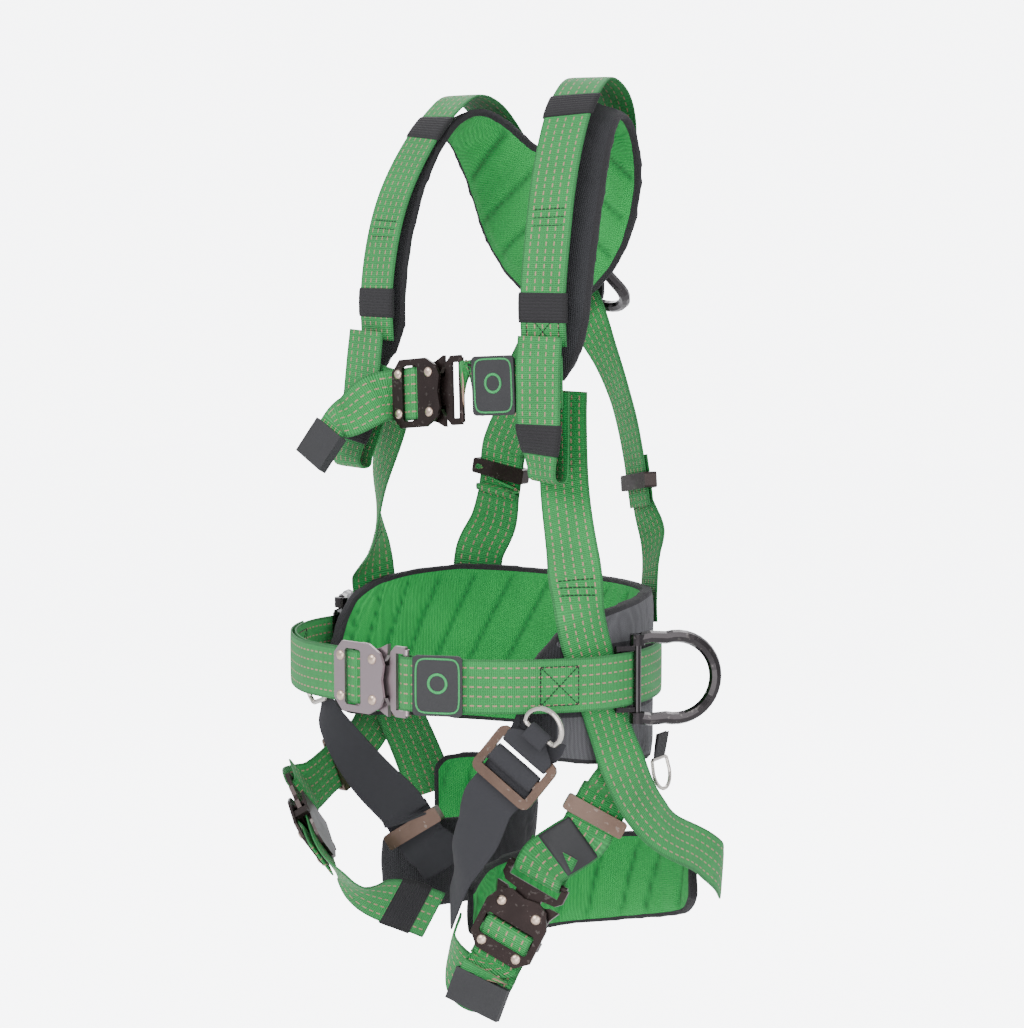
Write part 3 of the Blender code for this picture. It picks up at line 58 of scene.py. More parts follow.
class Tree:
    """A material's node tree, written as short calls."""

    def __init__(self, name: str) -> None:
        """Start a material with an empty Principled shader.

        Args:
            name: The material's name.
        """
        self.material = bpy.data.materials.new(name)
        self.material.use_nodes = True
        self.nodes = self.material.node_tree.nodes
        self.links = self.material.node_tree.links
        self.shader = self.nodes["Principled BSDF"]

    def put(self, socket: bpy.types.NodeSocket, value: object) -> None:
        """Link a socket to a node's output, or set its value."""
        if isinstance(value, bpy.types.NodeSocket):
            self.links.new(value, socket)
        else:
            socket.default_value = value

    def math(self, operation: str, *values: object) -> bpy.types.NodeSocket:
        """A math node.

        Args:
            operation: Blender's name of the operation.
            values: The inputs, as numbers or sockets.

        Returns:
            The node's output.
        """
        node = self.nodes.new("ShaderNodeMath")
        node.operation = operation
        for index, value in enumerate(values):
            self.put(node.inputs[index], value)
        return node.outputs[0]

    def mix(self, share: object, first: object, second: object) -> bpy.types.NodeSocket:
        """Blend two colours by a share from 0 to 1."""
        node = self.nodes.new("ShaderNodeMix")
        node.data_type = "RGBA"
        self.put(node.inputs[0], share)
        self.put(node.inputs[6], first)
        self.put(node.inputs[7], second)
        return node.outputs[2]

    def noise(self, scale: float, detail: float = 3.0, where: object = None) -> bpy.types.NodeSocket:
        """A noise value on the object's own coordinates, or on a given vector."""
        node = self.nodes.new("ShaderNodeTexNoise")
        node.inputs["Scale"].default_value = scale
        node.inputs["Detail"].default_value = detail
        self.links.new(where or self.place(), node.inputs["Vector"])
        return node.outputs["Fac"]

    def place(self) -> bpy.types.NodeSocket:
        """The object's own coordinates, in metres."""
        return self.nodes.new("ShaderNodeTexCoord").outputs["Object"]

    def split(self, vector: bpy.types.NodeSocket) -> list[bpy.types.NodeSocket]:
        """A vector's three parts."""
        node = self.nodes.new("ShaderNodeSeparateXYZ")
        self.links.new(vector, node.inputs[0])
        return list(node.outputs)

    def band(self) -> list[bpy.types.NodeSocket]:
        """A band's own coordinates in metres: along it and across it."""
        node = self.nodes.new("ShaderNodeUVMap")
        node.uv_map = "band"
        return self.split(node.outputs[0])[:2]

    def twill(self, scale: float) -> bpy.types.NodeSocket:
        """Crossed diagonal waves on the object's coordinates."""
        x, y, z = self.split(self.place())
        slope = self.math("MULTIPLY", self.math("ADD", self.math("ADD", x, y), z), scale)
        other = self.math("MULTIPLY", self.math("SUBTRACT", self.math("SUBTRACT", x, y), z), scale)
        return self.math("MULTIPLY", self.math("SINE", slope), self.math("SINE", other))

    def attribute(self, name: str) -> bpy.types.NodeSocket:
        """A number stored on the mesh."""
        node = self.nodes.new("ShaderNodeAttribute")
        node.attribute_name = name
        return node.outputs["Fac"]

    def bump(self, height: object, distance: float, strength: float = 1.0) -> None:
        """Drive the shader's normal from a height."""
        node = self.nodes.new("ShaderNodeBump")
        node.inputs["Distance"].default_value = distance
        node.inputs["Strength"].default_value = strength
        self.put(node.inputs["Height"], height)
        self.links.new(node.outputs[0], self.shader.inputs["Normal"])

    def set(self, **values: object) -> None:
        """Set the shader's sockets by name, with underscores for spaces."""
        for name, value in values.items():
            self.put(self.shader.inputs[name.replace("_", " ")], value)


def rgba(colour: tuple[float, float, float], factor: float = 1.0) -> tuple[float, ...]:
    """A colour with its alpha, scaled by a factor."""
    return (*(min(part * factor, 1.0) for part in colour), 1.0)


@dataclass(frozen=True)
class Webbing:
    """Woven strap webbing: ribs across, rows of dashes along, darker selvedges.

    The rib height is a sine of the way along; a dash shows where both the row's and the dash's
    fractions lie inside their shares.
    """
    name: str
    colour: tuple[float, float, float]
    dash: tuple[float, float, float] | None = None
    rib: float = 0.0017
    row: float = 0.0078
    stitch: float = 0.0062
    slant: float = 0.0
    rough: float = 0.62

    def build(self) -> bpy.types.Material:
        """Build the node tree.

        Returns:
            The material.
        """
        tree = Tree(self.name)
        along, across = tree.band()
        leaned = tree.math("ADD", along, tree.math("MULTIPLY", across, self.slant))
        wave = tree.math("SINE", tree.math("MULTIPLY", leaned, 2.0 * math.pi / self.rib))
        warp = tree.math("SINE", tree.math("MULTIPLY", across, 2.0 * math.pi / 0.0021))
        weave = tree.math("MULTIPLY", wave, tree.math("ADD", 1.0, tree.math("MULTIPLY", warp, 0.35)))
        fuzz = tree.noise(900.0, 2.0)
        tone = tree.noise(26.0, 4.0)
        shade = tree.math("ADD", 0.55, tree.math("MULTIPLY", weave, 0.2))
        shade = tree.math("ADD", shade, tree.math("MULTIPLY", tree.math("SUBTRACT", tone, 0.5), 0.5))
        colour = tree.mix(shade, rgba(self.colour, 0.32), rgba(self.colour, 1.45))
        side = tree.math("ABSOLUTE", across)
        edge = tree.math("GREATER_THAN", side, 0.0205)
        colour = tree.mix(tree.math("MULTIPLY", edge, 0.55), colour, rgba(self.colour, 0.3))
        height = tree.math("ADD", weave, tree.math("MULTIPLY", fuzz, 0.9))
        if self.dash:
            rows = tree.math("FRACT", tree.math("ADD", tree.math("DIVIDE", across, self.row), 10.5))
            near = tree.math("LESS_THAN", tree.math("ABSOLUTE", tree.math("SUBTRACT", rows, 0.5)), 0.085)
            steps = tree.math("FRACT", tree.math("ADD", tree.math("DIVIDE", along, self.stitch), 50.0))
            on = tree.math("LESS_THAN", steps, 0.58)
            inside = tree.math("LESS_THAN", side, 0.0195)
            mark = tree.math("MULTIPLY", tree.math("MULTIPLY", near, on), inside)
            colour = tree.mix(tree.math("MULTIPLY", mark, 0.85), colour, rgba(self.dash))
            height = tree.math("ADD", height, tree.math("MULTIPLY", mark, 1.4))
        tree.set(Base_Color=colour, Roughness=self.rough, Sheen_Weight=0.04, Sheen_Roughness=0.4)
        tree.bump(height, 0.00035, 0.75)
        return tree.material


@dataclass(frozen=True)
class Cloth:
    """Padded cloth: a fine twill on the object's coordinates, darkened by painted shade in the sewn
    seams.
    """
    name: str
    colour: tuple[float, float, float]
    scale: float = 620.0
    rough: float = 0.8
    sheen: float = 0.05
    depth: float = 0.0005

    def build(self) -> bpy.types.Material:
        """Build the node tree.

        Returns:
            The material.
        """
        tree = Tree(self.name)
        twill = tree.twill(self.scale * 3.0)
        tone = tree.noise(18.0, 5.0)
        fuzz = tree.noise(1100.0, 2.0)
        seam = tree.attribute("seam")
        shade = tree.math("ADD", 0.5, tree.math("MULTIPLY", twill, 0.28))
        shade = tree.math("ADD", shade, tree.math("MULTIPLY", tree.math("SUBTRACT", tone, 0.5), 0.45))
        colour = tree.mix(shade, rgba(self.colour, 0.5), rgba(self.colour, 1.25))
        # Painted shade: towards the seams the colour falls to a near-black copy of itself, standing in
        # for the shade inside the sewn channels.
        colour = tree.mix(tree.math("MULTIPLY", seam, 0.75), colour, rgba(self.colour, 0.18))
        tree.set(Base_Color=colour, Roughness=self.rough, Sheen_Weight=self.sheen,
                 Sheen_Roughness=0.35)
        tree.bump(tree.math("ADD", twill, tree.math("MULTIPLY", fuzz, 0.7)), self.depth, 0.8)
        return tree.material


@dataclass(frozen=True)
class Padding:
    """A pad's cloth: green inside, black outside with grey panels, and a black bound edge.

    The mesh's numbers "rim" (metres from the edge), "outside" and "panel" choose the cloth; its seam
    number darkens the sewn channels as painted shade.
    """
    name: str
    colour: tuple[float, float, float] = (0.010, 0.360, 0.060)
    outer: tuple[float, float, float] = (0.013, 0.013, 0.016)
    panel: tuple[float, float, float] = (0.075, 0.075, 0.082)
    binding: float = 0.0066
    weave: float = 1900.0

    def build(self) -> bpy.types.Material:
        """Build the node tree.

        Returns:
            The material.
        """
        tree = Tree(self.name)
        twill = tree.twill(self.weave)
        tone = tree.noise(18.0, 5.0)
        seam = tree.attribute("seam")
        shade = tree.math("ADD", 0.5, tree.math("MULTIPLY", twill, 0.3))
        shade = tree.math("ADD", shade, tree.math("MULTIPLY", tree.math("SUBTRACT", tone, 0.5), 0.5))
        inside = tree.mix(shade, rgba(self.colour, 0.45), rgba(self.colour, 1.3))
        # Painted shade: the green falls to a near-black copy of itself along the sewn channels, in place
        # of the shade in the creases.
        inside = tree.mix(tree.math("MULTIPLY", seam, 0.75), inside, rgba(self.colour, 0.15))
        outside = tree.mix(shade, rgba(self.outer, 0.5), rgba(self.outer, 1.6))
        grey = tree.mix(shade, rgba(self.panel, 0.5), rgba(self.panel, 1.4))
        outside = tree.mix(tree.math("GREATER_THAN", tree.attribute("panel"), 0.5), outside, grey)
        colour = tree.mix(tree.math("GREATER_THAN", tree.attribute("outside"), 0.5), inside, outside)
        bound = tree.math("LESS_THAN", tree.attribute("rim"), self.binding)
        tape = tree.mix(tone, (0.006, 0.005, 0.007, 1.0), (0.014, 0.013, 0.016, 1.0))
        colour = tree.mix(bound, colour, tape)
        tree.set(Base_Color=colour, Roughness=0.8, Sheen_Weight=0.04, Sheen_Roughness=0.4)
        tree.bump(tree.math("ADD", twill, tree.noise(1100.0, 2.0)), 0.0005, 0.8)
        return tree.material


@dataclass(frozen=True)
class Metal:
    """Coated or polished metal with soft mottling, fine scratches and worn patches."""
    name: str
    colour: tuple[float, float, float]
    rough: float = 0.34
    metallic: float = 1.0
    wear: float = 0.12
    speckle: float = 0.0
    coat: float = 0.15

    def build(self) -> bpy.types.Material:
        """Build the node tree.

        Returns:
            The material.
        """
        tree = Tree(self.name)
        cloud = tree.noise(60.0, 6.0)
        fine = tree.noise(1500.0, 2.0)
        worn = tree.math("GREATER_THAN", tree.noise(210.0, 6.0), 0.64)
        colour = tree.mix(cloud, rgba(self.colour, 0.7), rgba(self.colour, 1.3))
        colour = tree.mix(tree.math("MULTIPLY", worn, self.wear), colour, rgba((0.75, 0.7, 0.64)))
        if self.speckle:
            dots = tree.math("GREATER_THAN", tree.noise(2400.0, 1.0), 0.62)
            colour = tree.mix(tree.math("MULTIPLY", dots, self.speckle), colour, rgba(self.colour, 0.4))
        rough = tree.math("ADD", self.rough - 0.08, tree.math("MULTIPLY", cloud, 0.18))
        tree.set(Base_Color=colour, Roughness=rough, Metallic=self.metallic, Coat_Weight=self.coat)
        tree.bump(tree.math("ADD", fine, cloud), 0.00012, 0.35)
        return tree.material


@dataclass(frozen=True)
class Rubber:
    """Moulded black rubber with a fine grain."""
    name: str
    colour: tuple[float, float, float] = (0.012, 0.012, 0.014)
    rough: float = 0.58

    def build(self) -> bpy.types.Material:
        """Build the node tree.

        Returns:
            The material.
        """
        tree = Tree(self.name)
        grain = tree.noise(2100.0, 3.0)
        cloud = tree.noise(45.0, 4.0)
        colour = tree.mix(cloud, rgba(self.colour, 0.6), rgba(self.colour, 1.6))
        rough = tree.math("ADD", self.rough - 0.1, tree.math("MULTIPLY", cloud, 0.22))
        tree.set(Base_Color=colour, Roughness=rough)
        tree.bump(grain, 0.00025, 0.6)
        return tree.material


class Finish(Enum):
    """The harness's finishes."""
    WEBBING = Webbing("green_webbing", (0.012, 0.235, 0.045), (0.40, 0.21, 0.16))
    RISER = Webbing("black_webbing", (0.030, 0.030, 0.036), None, 0.0022, slant=0.9, rough=0.5)
    ELASTIC = Webbing("black_elastic", (0.010, 0.009, 0.011), None, 0.0026, rough=0.85)
    PAD = Padding("pad_cloth")
    BINDING = Cloth("black_binding", (0.009, 0.008, 0.010), 760.0, 0.85, 0.15, 0.0006)
    THREAD = Cloth("black_thread", (0.006, 0.006, 0.007), 900.0)
    GREEN_THREAD = Cloth("green_thread", (0.03, 0.42, 0.11), 900.0)
    DARK = Metal("dark_brown_metal", (0.030, 0.020, 0.019), 0.36, 0.85, 0.06)
    MAUVE = Metal("mauve_metal", (0.26, 0.205, 0.215), 0.42, 0.9, 0.05, 0.5)
    BRONZE = Metal("bronze_metal", (0.115, 0.075, 0.058), 0.32, 0.95, 0.08)
    RING = Metal("dark_ring_metal", (0.028, 0.024, 0.026), 0.2, 0.95, 0.05, coat=0.4)
    STEEL = Metal("polished_steel", (0.62, 0.58, 0.53), 0.24, 1.0, 0.0)
    RIVET = Metal("pearl_copper", (0.62, 0.47, 0.38), 0.3, 1.0, 0.0)
    RUBBER = Rubber("black_rubber")

    def material(self) -> bpy.types.Material:
        """The finish's material, built once."""
        return bpy.data.materials.get(self.value.name) or self.value.build()


# ---------------------------------------------------------------------------------------------
# Meshes
# ---------------------------------------------------------------------------------------------

def make_mesh(name: str, points: np.ndarray, faces: np.ndarray, finish: Finish,
              band: np.ndarray | None = None, smooth: bool = True) -> bpy.types.Object:
    """Link a mesh of quads or triangles as an object at the origin.

    Args:
        name: The piece's name.
        points: Its points, in metres.
        faces: Its faces, one row of point numbers each.
        finish: Its finish.
        band: Each point's place along and across the band, in metres.
        smooth: Whether it is shaded smooth.

    Returns:
        The object.
    """
    mesh = bpy.data.meshes.new(name)
    mesh.from_pydata(points.tolist(), [], faces.tolist())
    if band is not None:
        layer = mesh.uv_layers.new(name="band")
        corners = np.empty(len(mesh.loops), np.int32)
        mesh.loops.foreach_get("vertex_index", corners)
        layer.data.foreach_set("uv", band[corners].astype(np.float32).ravel())
    mesh.polygons.foreach_set("use_smooth", np.full(len(mesh.polygons), smooth))
    mesh.materials.append(finish.material())
    mesh.update()
    thing = bpy.data.objects.new(name, mesh)
    bpy.context.collection.objects.link(thing)
    return thing


def loft_faces(rows: int, columns: int) -> np.ndarray:
    """Quads between the rows of a grid that is closed round its columns."""
    first = np.arange(rows - 1)[:, None] * columns
    here = np.arange(columns)[None, :]
    after = (here + 1) % columns
    quads = np.stack([first + here, first + after, first + columns + after, first + columns + here], -1)
    return quads.reshape(-1, 4)


def unit(vectors: np.ndarray) -> np.ndarray:
    """Vectors scaled to length one."""
    return vectors / np.maximum(np.linalg.norm(vectors, axis=-1, keepdims=True), 1e-12)


def catmull(rows: np.ndarray, knots: np.ndarray, where: np.ndarray) -> np.ndarray:
    """A smooth curve through rows of numbers.

    On each span the curve is Hermite's cubic: its ends are the rows, and its end slopes are the
    differences between the rows on either side over the way between them.

    Args:
        rows: The numbers at the knots.
        knots: The way along at each row.
        where: The ways along to read.

    Returns:
        The rows at those ways along.
    """
    before, after = np.vstack([rows[:1], rows[:-1]]), np.vstack([rows[1:], rows[-1:]])
    ways = np.append(knots[1:], knots[-1]) - np.insert(knots[:-1], 0, knots[0])
    slopes = (after - before) / np.maximum(ways, 1e-9)[:, None]
    span = np.clip(np.searchsorted(knots, where, side="right") - 1, 0, len(knots) - 2)
    size = (knots[span + 1] - knots[span])[:, None]
    t = ((where - knots[span])[:, None]) / size
    return ((2 * t ** 3 - 3 * t ** 2 + 1) * rows[span] + (t ** 3 - 2 * t ** 2 + t) * size * slopes[span]
            + (3 * t ** 2 - 2 * t ** 3) * rows[span + 1] + (t ** 3 - t ** 2) * size * slopes[span + 1])


class SolidBand:
    """A strap's route, read from the rings of points of its CAD solid."""

    def __init__(self, node: str) -> None:
        """Read the route: ring after ring of points from one end cap to the other.

        Args:
            node: The CAD node's name.
        """
        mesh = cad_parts[node].data
        raw = np.array([v.co[:] for v in mesh.vertices])
        _, first, same = np.unique(np.round(raw / 2e-6).astype(np.int64), axis=0, return_index=True,
                                   return_inverse=True)
        same = same.reshape(-1)
        self.points = raw[first]
        mesh.calc_loop_triangles()
        self.triangles = same[np.array([t.vertices[:] for t in mesh.loop_triangles])]
        good = np.array([len(set(t)) == 3 for t in self.triangles.tolist()])
        self.triangles = self.triangles[good]
        rings = self.rings()
        centres, sides, widths, bends = [], [], [], []
        for ring in rings:
            cloud = self.points[ring]
            axis = np.linalg.svd(cloud - cloud.mean(0))[2][0]
            reach = (cloud - cloud.mean(0)) @ axis
            ends = cloud[np.abs(reach) > 0.9 * np.abs(reach).max()]
            low = ends[(ends - ends.mean(0)) @ axis < 0].mean(0)
            high = ends[(ends - ends.mean(0)) @ axis > 0].mean(0)
            side = unit(high - low)
            if sides and side @ sides[-1] < 0:
                low, high, side = high, low, -side
            inner = cloud[np.abs(reach) < 0.2 * np.abs(reach).max()]
            middle = (low + high) / 2.0
            bends.append((inner.mean(0) - middle) if len(inner) else np.zeros(3))
            centres.append(middle)
            sides.append(side)
            widths.append(np.linalg.norm(high - low))
        self.centres, self.sides = np.array(centres), np.array(sides)
        self.widths, self.bends = np.array(widths), np.array(bends)
        steps = np.linalg.norm(np.diff(self.centres, axis=0), axis=1)
        self.knots = np.concatenate([[0.0], np.cumsum(steps)])
        self.length = float(self.knots[-1])

    def rings(self) -> list[np.ndarray]:
        """The solid's rings: the points at each count of edges from an end cap."""
        ends = self.caps()
        neighbours: list[set[int]] = [set() for _ in self.points]
        for a, b, c in self.triangles.tolist():
            neighbours[a] |= {b, c}
            neighbours[b] |= {a, c}
            neighbours[c] |= {a, b}
        ring, seen, found = set(ends[0]), set(ends[0]), []
        while ring:
            found.append(np.array(sorted(ring)))
            ring = {n for k in ring for n in neighbours[k]} - seen
            seen |= ring
        return [r for r in found if len(r) >= 4]

    def caps(self) -> list[list[int]]:
        """The flat ends: coplanar patches whose every border edge is a sharp corner."""
        a, b, c = (self.points[self.triangles[:, k]] for k in range(3))
        normals = unit(np.cross(b - a, c - a))
        areas = np.linalg.norm(np.cross(b - a, c - a), axis=1) / 2.0
        edges: dict[tuple[int, int], list[int]] = {}
        for index, t in enumerate(self.triangles.tolist()):
            for k in range(3):
                key = (min(t[k], t[(k + 1) % 3]), max(t[k], t[(k + 1) % 3]))
                edges.setdefault(key, []).append(index)
        patch = list(range(len(self.triangles)))

        def root(k: int) -> int:
            """The patch's first triangle."""
            while patch[k] != k:
                k = patch[k]
            return k

        for pair in edges.values():
            if len(pair) == 2 and normals[pair[0]] @ normals[pair[1]] > 0.9995:
                patch[root(pair[0])] = root(pair[1])
        members: dict[int, list[int]] = {}
        for index in range(len(patch)):
            members.setdefault(root(index), []).append(index)
        blunt = set()
        for pair in edges.values():
            if len(pair) != 2 or root(pair[0]) == root(pair[1]):
                continue
            if normals[pair[0]] @ normals[pair[1]] > 0.35:
                blunt |= {root(pair[0]), root(pair[1])}
        caps = [rows for key, rows in members.items() if key not in blunt
                and 30e-6 < areas[rows].sum() < 160e-6]
        return [sorted({int(p) for row in rows for p in self.triangles[row]}) for rows in caps]

    def at(self, where: np.ndarray) -> tuple[np.ndarray, np.ndarray, np.ndarray, np.ndarray, np.ndarray]:
        """The route at ways along it.

        Args:
            where: The ways along, in metres.

        Returns:
            The middle points, the sideways directions, the faces' normals, the widths and the
            middles' bulges.
        """
        rows = np.hstack([self.centres, self.sides, self.widths[:, None], self.bends])
        read = catmull(rows, self.knots, where)
        centre, side, width, bulge = read[:, :3], unit(read[:, 3:6]), read[:, 6], read[:, 7:10]
        step = 0.0008
        ahead = catmull(self.centres, self.knots, np.clip(where + step, 0, self.length))
        behind = catmull(self.centres, self.knots, np.clip(where - step, 0, self.length))
        along = unit(ahead - behind)
        normal = unit(np.cross(side, along))
        return centre, side, normal, width, bulge

    def nearest(self, point: tuple[float, float, float]) -> float:
        """The way along the route to its place nearest to a point."""
        where = np.linspace(0.0, self.length, 600)
        centre = self.at(where)[0]
        return float(where[np.argmin(np.linalg.norm(centre - np.array(point), axis=1))])


@dataclass
class Strap:
    """A woven strap over a CAD band, with its selvedges rounded."""
    node: str
    finish: Finish = Finish.WEBBING
    thickness: float = 0.0023
    spacing: float = 0.0022
    route: SolidBand = field(init=False)

    def __post_init__(self) -> None:
        """Read the route."""
        self.route = SolidBand(self.node)

    def sheath(self, name: str, start: float, end: float, grow: float, finish: Finish,
               wide: float = 0.0, ends: float = 1.0) -> bpy.types.Object:
        """A closed band round the route between two ways along.

        The section is a flat oval: across = half width times the cosine's signed root, and out =
        half thickness times the sine's signed root. Its middle bulges with the strap.

        Args:
            name: The piece's name.
            start: Where it starts, in metres along the route.
            end: Where it ends.
            grow: How much thicker than the strap it is, on each face.
            finish: Its finish.
            wide: How much wider it is on each side.
            ends: The share of its thickness that is left at its ends.

        Returns:
            The object.
        """
        count = max(int((end - start) / self.spacing), 6)
        where = np.linspace(start, end, count)
        centre, side, normal, width, bulge = self.route.at(where)
        turn = np.linspace(0.0, 2.0 * np.pi, 33)[:-1]
        across = np.sign(np.cos(turn)) * np.abs(np.cos(turn)) ** 0.5
        out = np.sign(np.sin(turn)) * np.abs(np.sin(turn)) ** 0.35
        half = (width / 2.0 + wide)[:, None]
        fall = np.minimum(np.minimum(where - start, end - where) / 0.0016, 1.0)
        rise = (ends + (1.0 - ends) * fall)[:, None]
        thick = (self.thickness / 2.0 + grow) * rise
        curve = (1.0 - across[None, :] ** 2)[..., None] * bulge[:, None, :]
        points = (centre[:, None, :] + side[:, None, :] * (half * across[None, :])[..., None]
                  + normal[:, None, :] * (thick * out[None, :])[..., None] + curve)
        grid = points.reshape(-1, 3)
        band = np.stack([np.repeat(where, 32), (half * across[None, :]).ravel()], -1)
        caps = [centre[0] + bulge[0], centre[-1] + bulge[-1]]
        grid = np.vstack([grid, caps])
        band = np.vstack([band, [[where[0], 0.0], [where[-1], 0.0]]])
        faces = loft_faces(count, 32).tolist()
        last = (count - 1) * 32
        faces += [[len(grid) - 2, (k + 1) % 32, k] for k in range(32)]
        faces += [[len(grid) - 1, last + k, last + (k + 1) % 32] for k in range(32)]
        mesh_faces = np.array([f + [f[-1]] if len(f) == 3 else f for f in faces])
        return self.ridden(name, grid, mesh_faces, finish, band)

    @staticmethod
    def ridden(name: str, grid: np.ndarray, faces: np.ndarray, finish: Finish,
               band: np.ndarray) -> bpy.types.Object:
        """Make the mesh, with its caps' doubled corners dropped, riding on the harness."""
        quads = faces[faces[:, 2] != faces[:, 3]]
        thirds = faces[faces[:, 2] == faces[:, 3]][:, :3]
        mesh = bpy.data.meshes.new(name)
        mesh.from_pydata(grid.tolist(), [], quads.tolist() + thirds.tolist())
        layer = mesh.uv_layers.new(name="band")
        corners = np.empty(len(mesh.loops), np.int32)
        mesh.loops.foreach_get("vertex_index", corners)
        layer.data.foreach_set("uv", band[corners].astype(np.float32).ravel())
        mesh.polygons.foreach_set("use_smooth", np.full(len(mesh.polygons), True))
        mesh.materials.append(finish.material())
        thing = bpy.data.objects.new(name, mesh)
        bpy.context.collection.objects.link(thing)
        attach(thing, ROOT)
        return thing

    def weave(self) -> bpy.types.Object:
        """The strap itself, in place of its CAD node."""
        thing = self.sheath(f"{self.node}_woven", 0.0, self.route.length, 0.0, self.finish)
        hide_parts(self.node)
        return thing

    def stitches(self, name: str, lines: list[tuple[float, float, float, float]],
                 finish: Finish = Finish.THREAD, stitch: float = 0.0034, thread: float = 0.00045,
                 face: float = 1.0) -> bpy.types.Object:
        """Rows of sewn thread on a face of the strap.

        Each stitch is a small lens: a five-sided tube whose radius is the thread's times the
        sine of the way along it.

        Args:
            name: The piece's name.
            lines: Each row's start and end, as (along, across, along, across) in metres.
            finish: The thread's finish.
            stitch: A stitch's length.
            thread: The thread's radius.
            face: 1 for the strap's one face, and -1 for the other.

        Returns:
            The object.
        """
        points, faces = [], []
        for u0, v0, u1, v1 in lines:
            size = math.hypot(u1 - u0, v1 - v0)
            count = max(int(size / stitch), 1)
            shares = (np.arange(count)[:, None] + np.linspace(0.08, 0.92, 4)[None, :]) / count
            along = (u0 + (u1 - u0) * shares).ravel()
            across = (v0 + (v1 - v0) * shares).ravel()
            centre, side, normal, width, bulge = self.route.at(np.clip(along, 0, self.route.length))
            share = np.clip(2.0 * across / width, -1, 1)
            spot = (centre + side * across[:, None] + bulge * (1.0 - share ** 2)[:, None]
                    + normal * face * (self.thickness / 2.0 + 0.0001))
            way = unit(np.gradient(spot, axis=0))
            cross = unit(np.cross(way, normal))
            radius = thread * np.tile([0.45, 1.0, 1.0, 0.45], count)
            turn = np.linspace(0, 2 * np.pi, 6)[:-1]
            ring = (spot[:, None, :] + cross[:, None, :] * (radius[:, None] * np.cos(turn))[..., None]
                    + normal[:, None, :] * (radius[:, None] * np.sin(turn))[..., None])
            base = sum(len(p) for p in points)
            points.append(ring.reshape(-1, 3))
            quads = loft_faces(4, 5)
            faces.append((quads[None] + np.arange(count)[:, None, None] * 20 + base).reshape(-1, 4))
        thing = make_mesh(name, np.vstack(points), np.vstack(faces), finish)
        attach(thing, ROOT)
        return thing


def box_cross(start: float, end: float, half: float) -> list[tuple[float, float, float, float]]:
    """The rows of a sewn box with a cross in it."""
    return [(start, -half, end, -half), (start, half, end, half), (start, -half, start, half),
            (end, -half, end, half), (start, -half, end, half), (start, half, end, -half)]


def bars(places: list[float], half: float) -> list[tuple[float, float, float, float]]:
    """The rows of bar tacks across a strap."""
    return [(place, -half, place, half) for place in places]


# ---------------------------------------------------------------------------------------------
# Webbing
# ---------------------------------------------------------------------------------------------

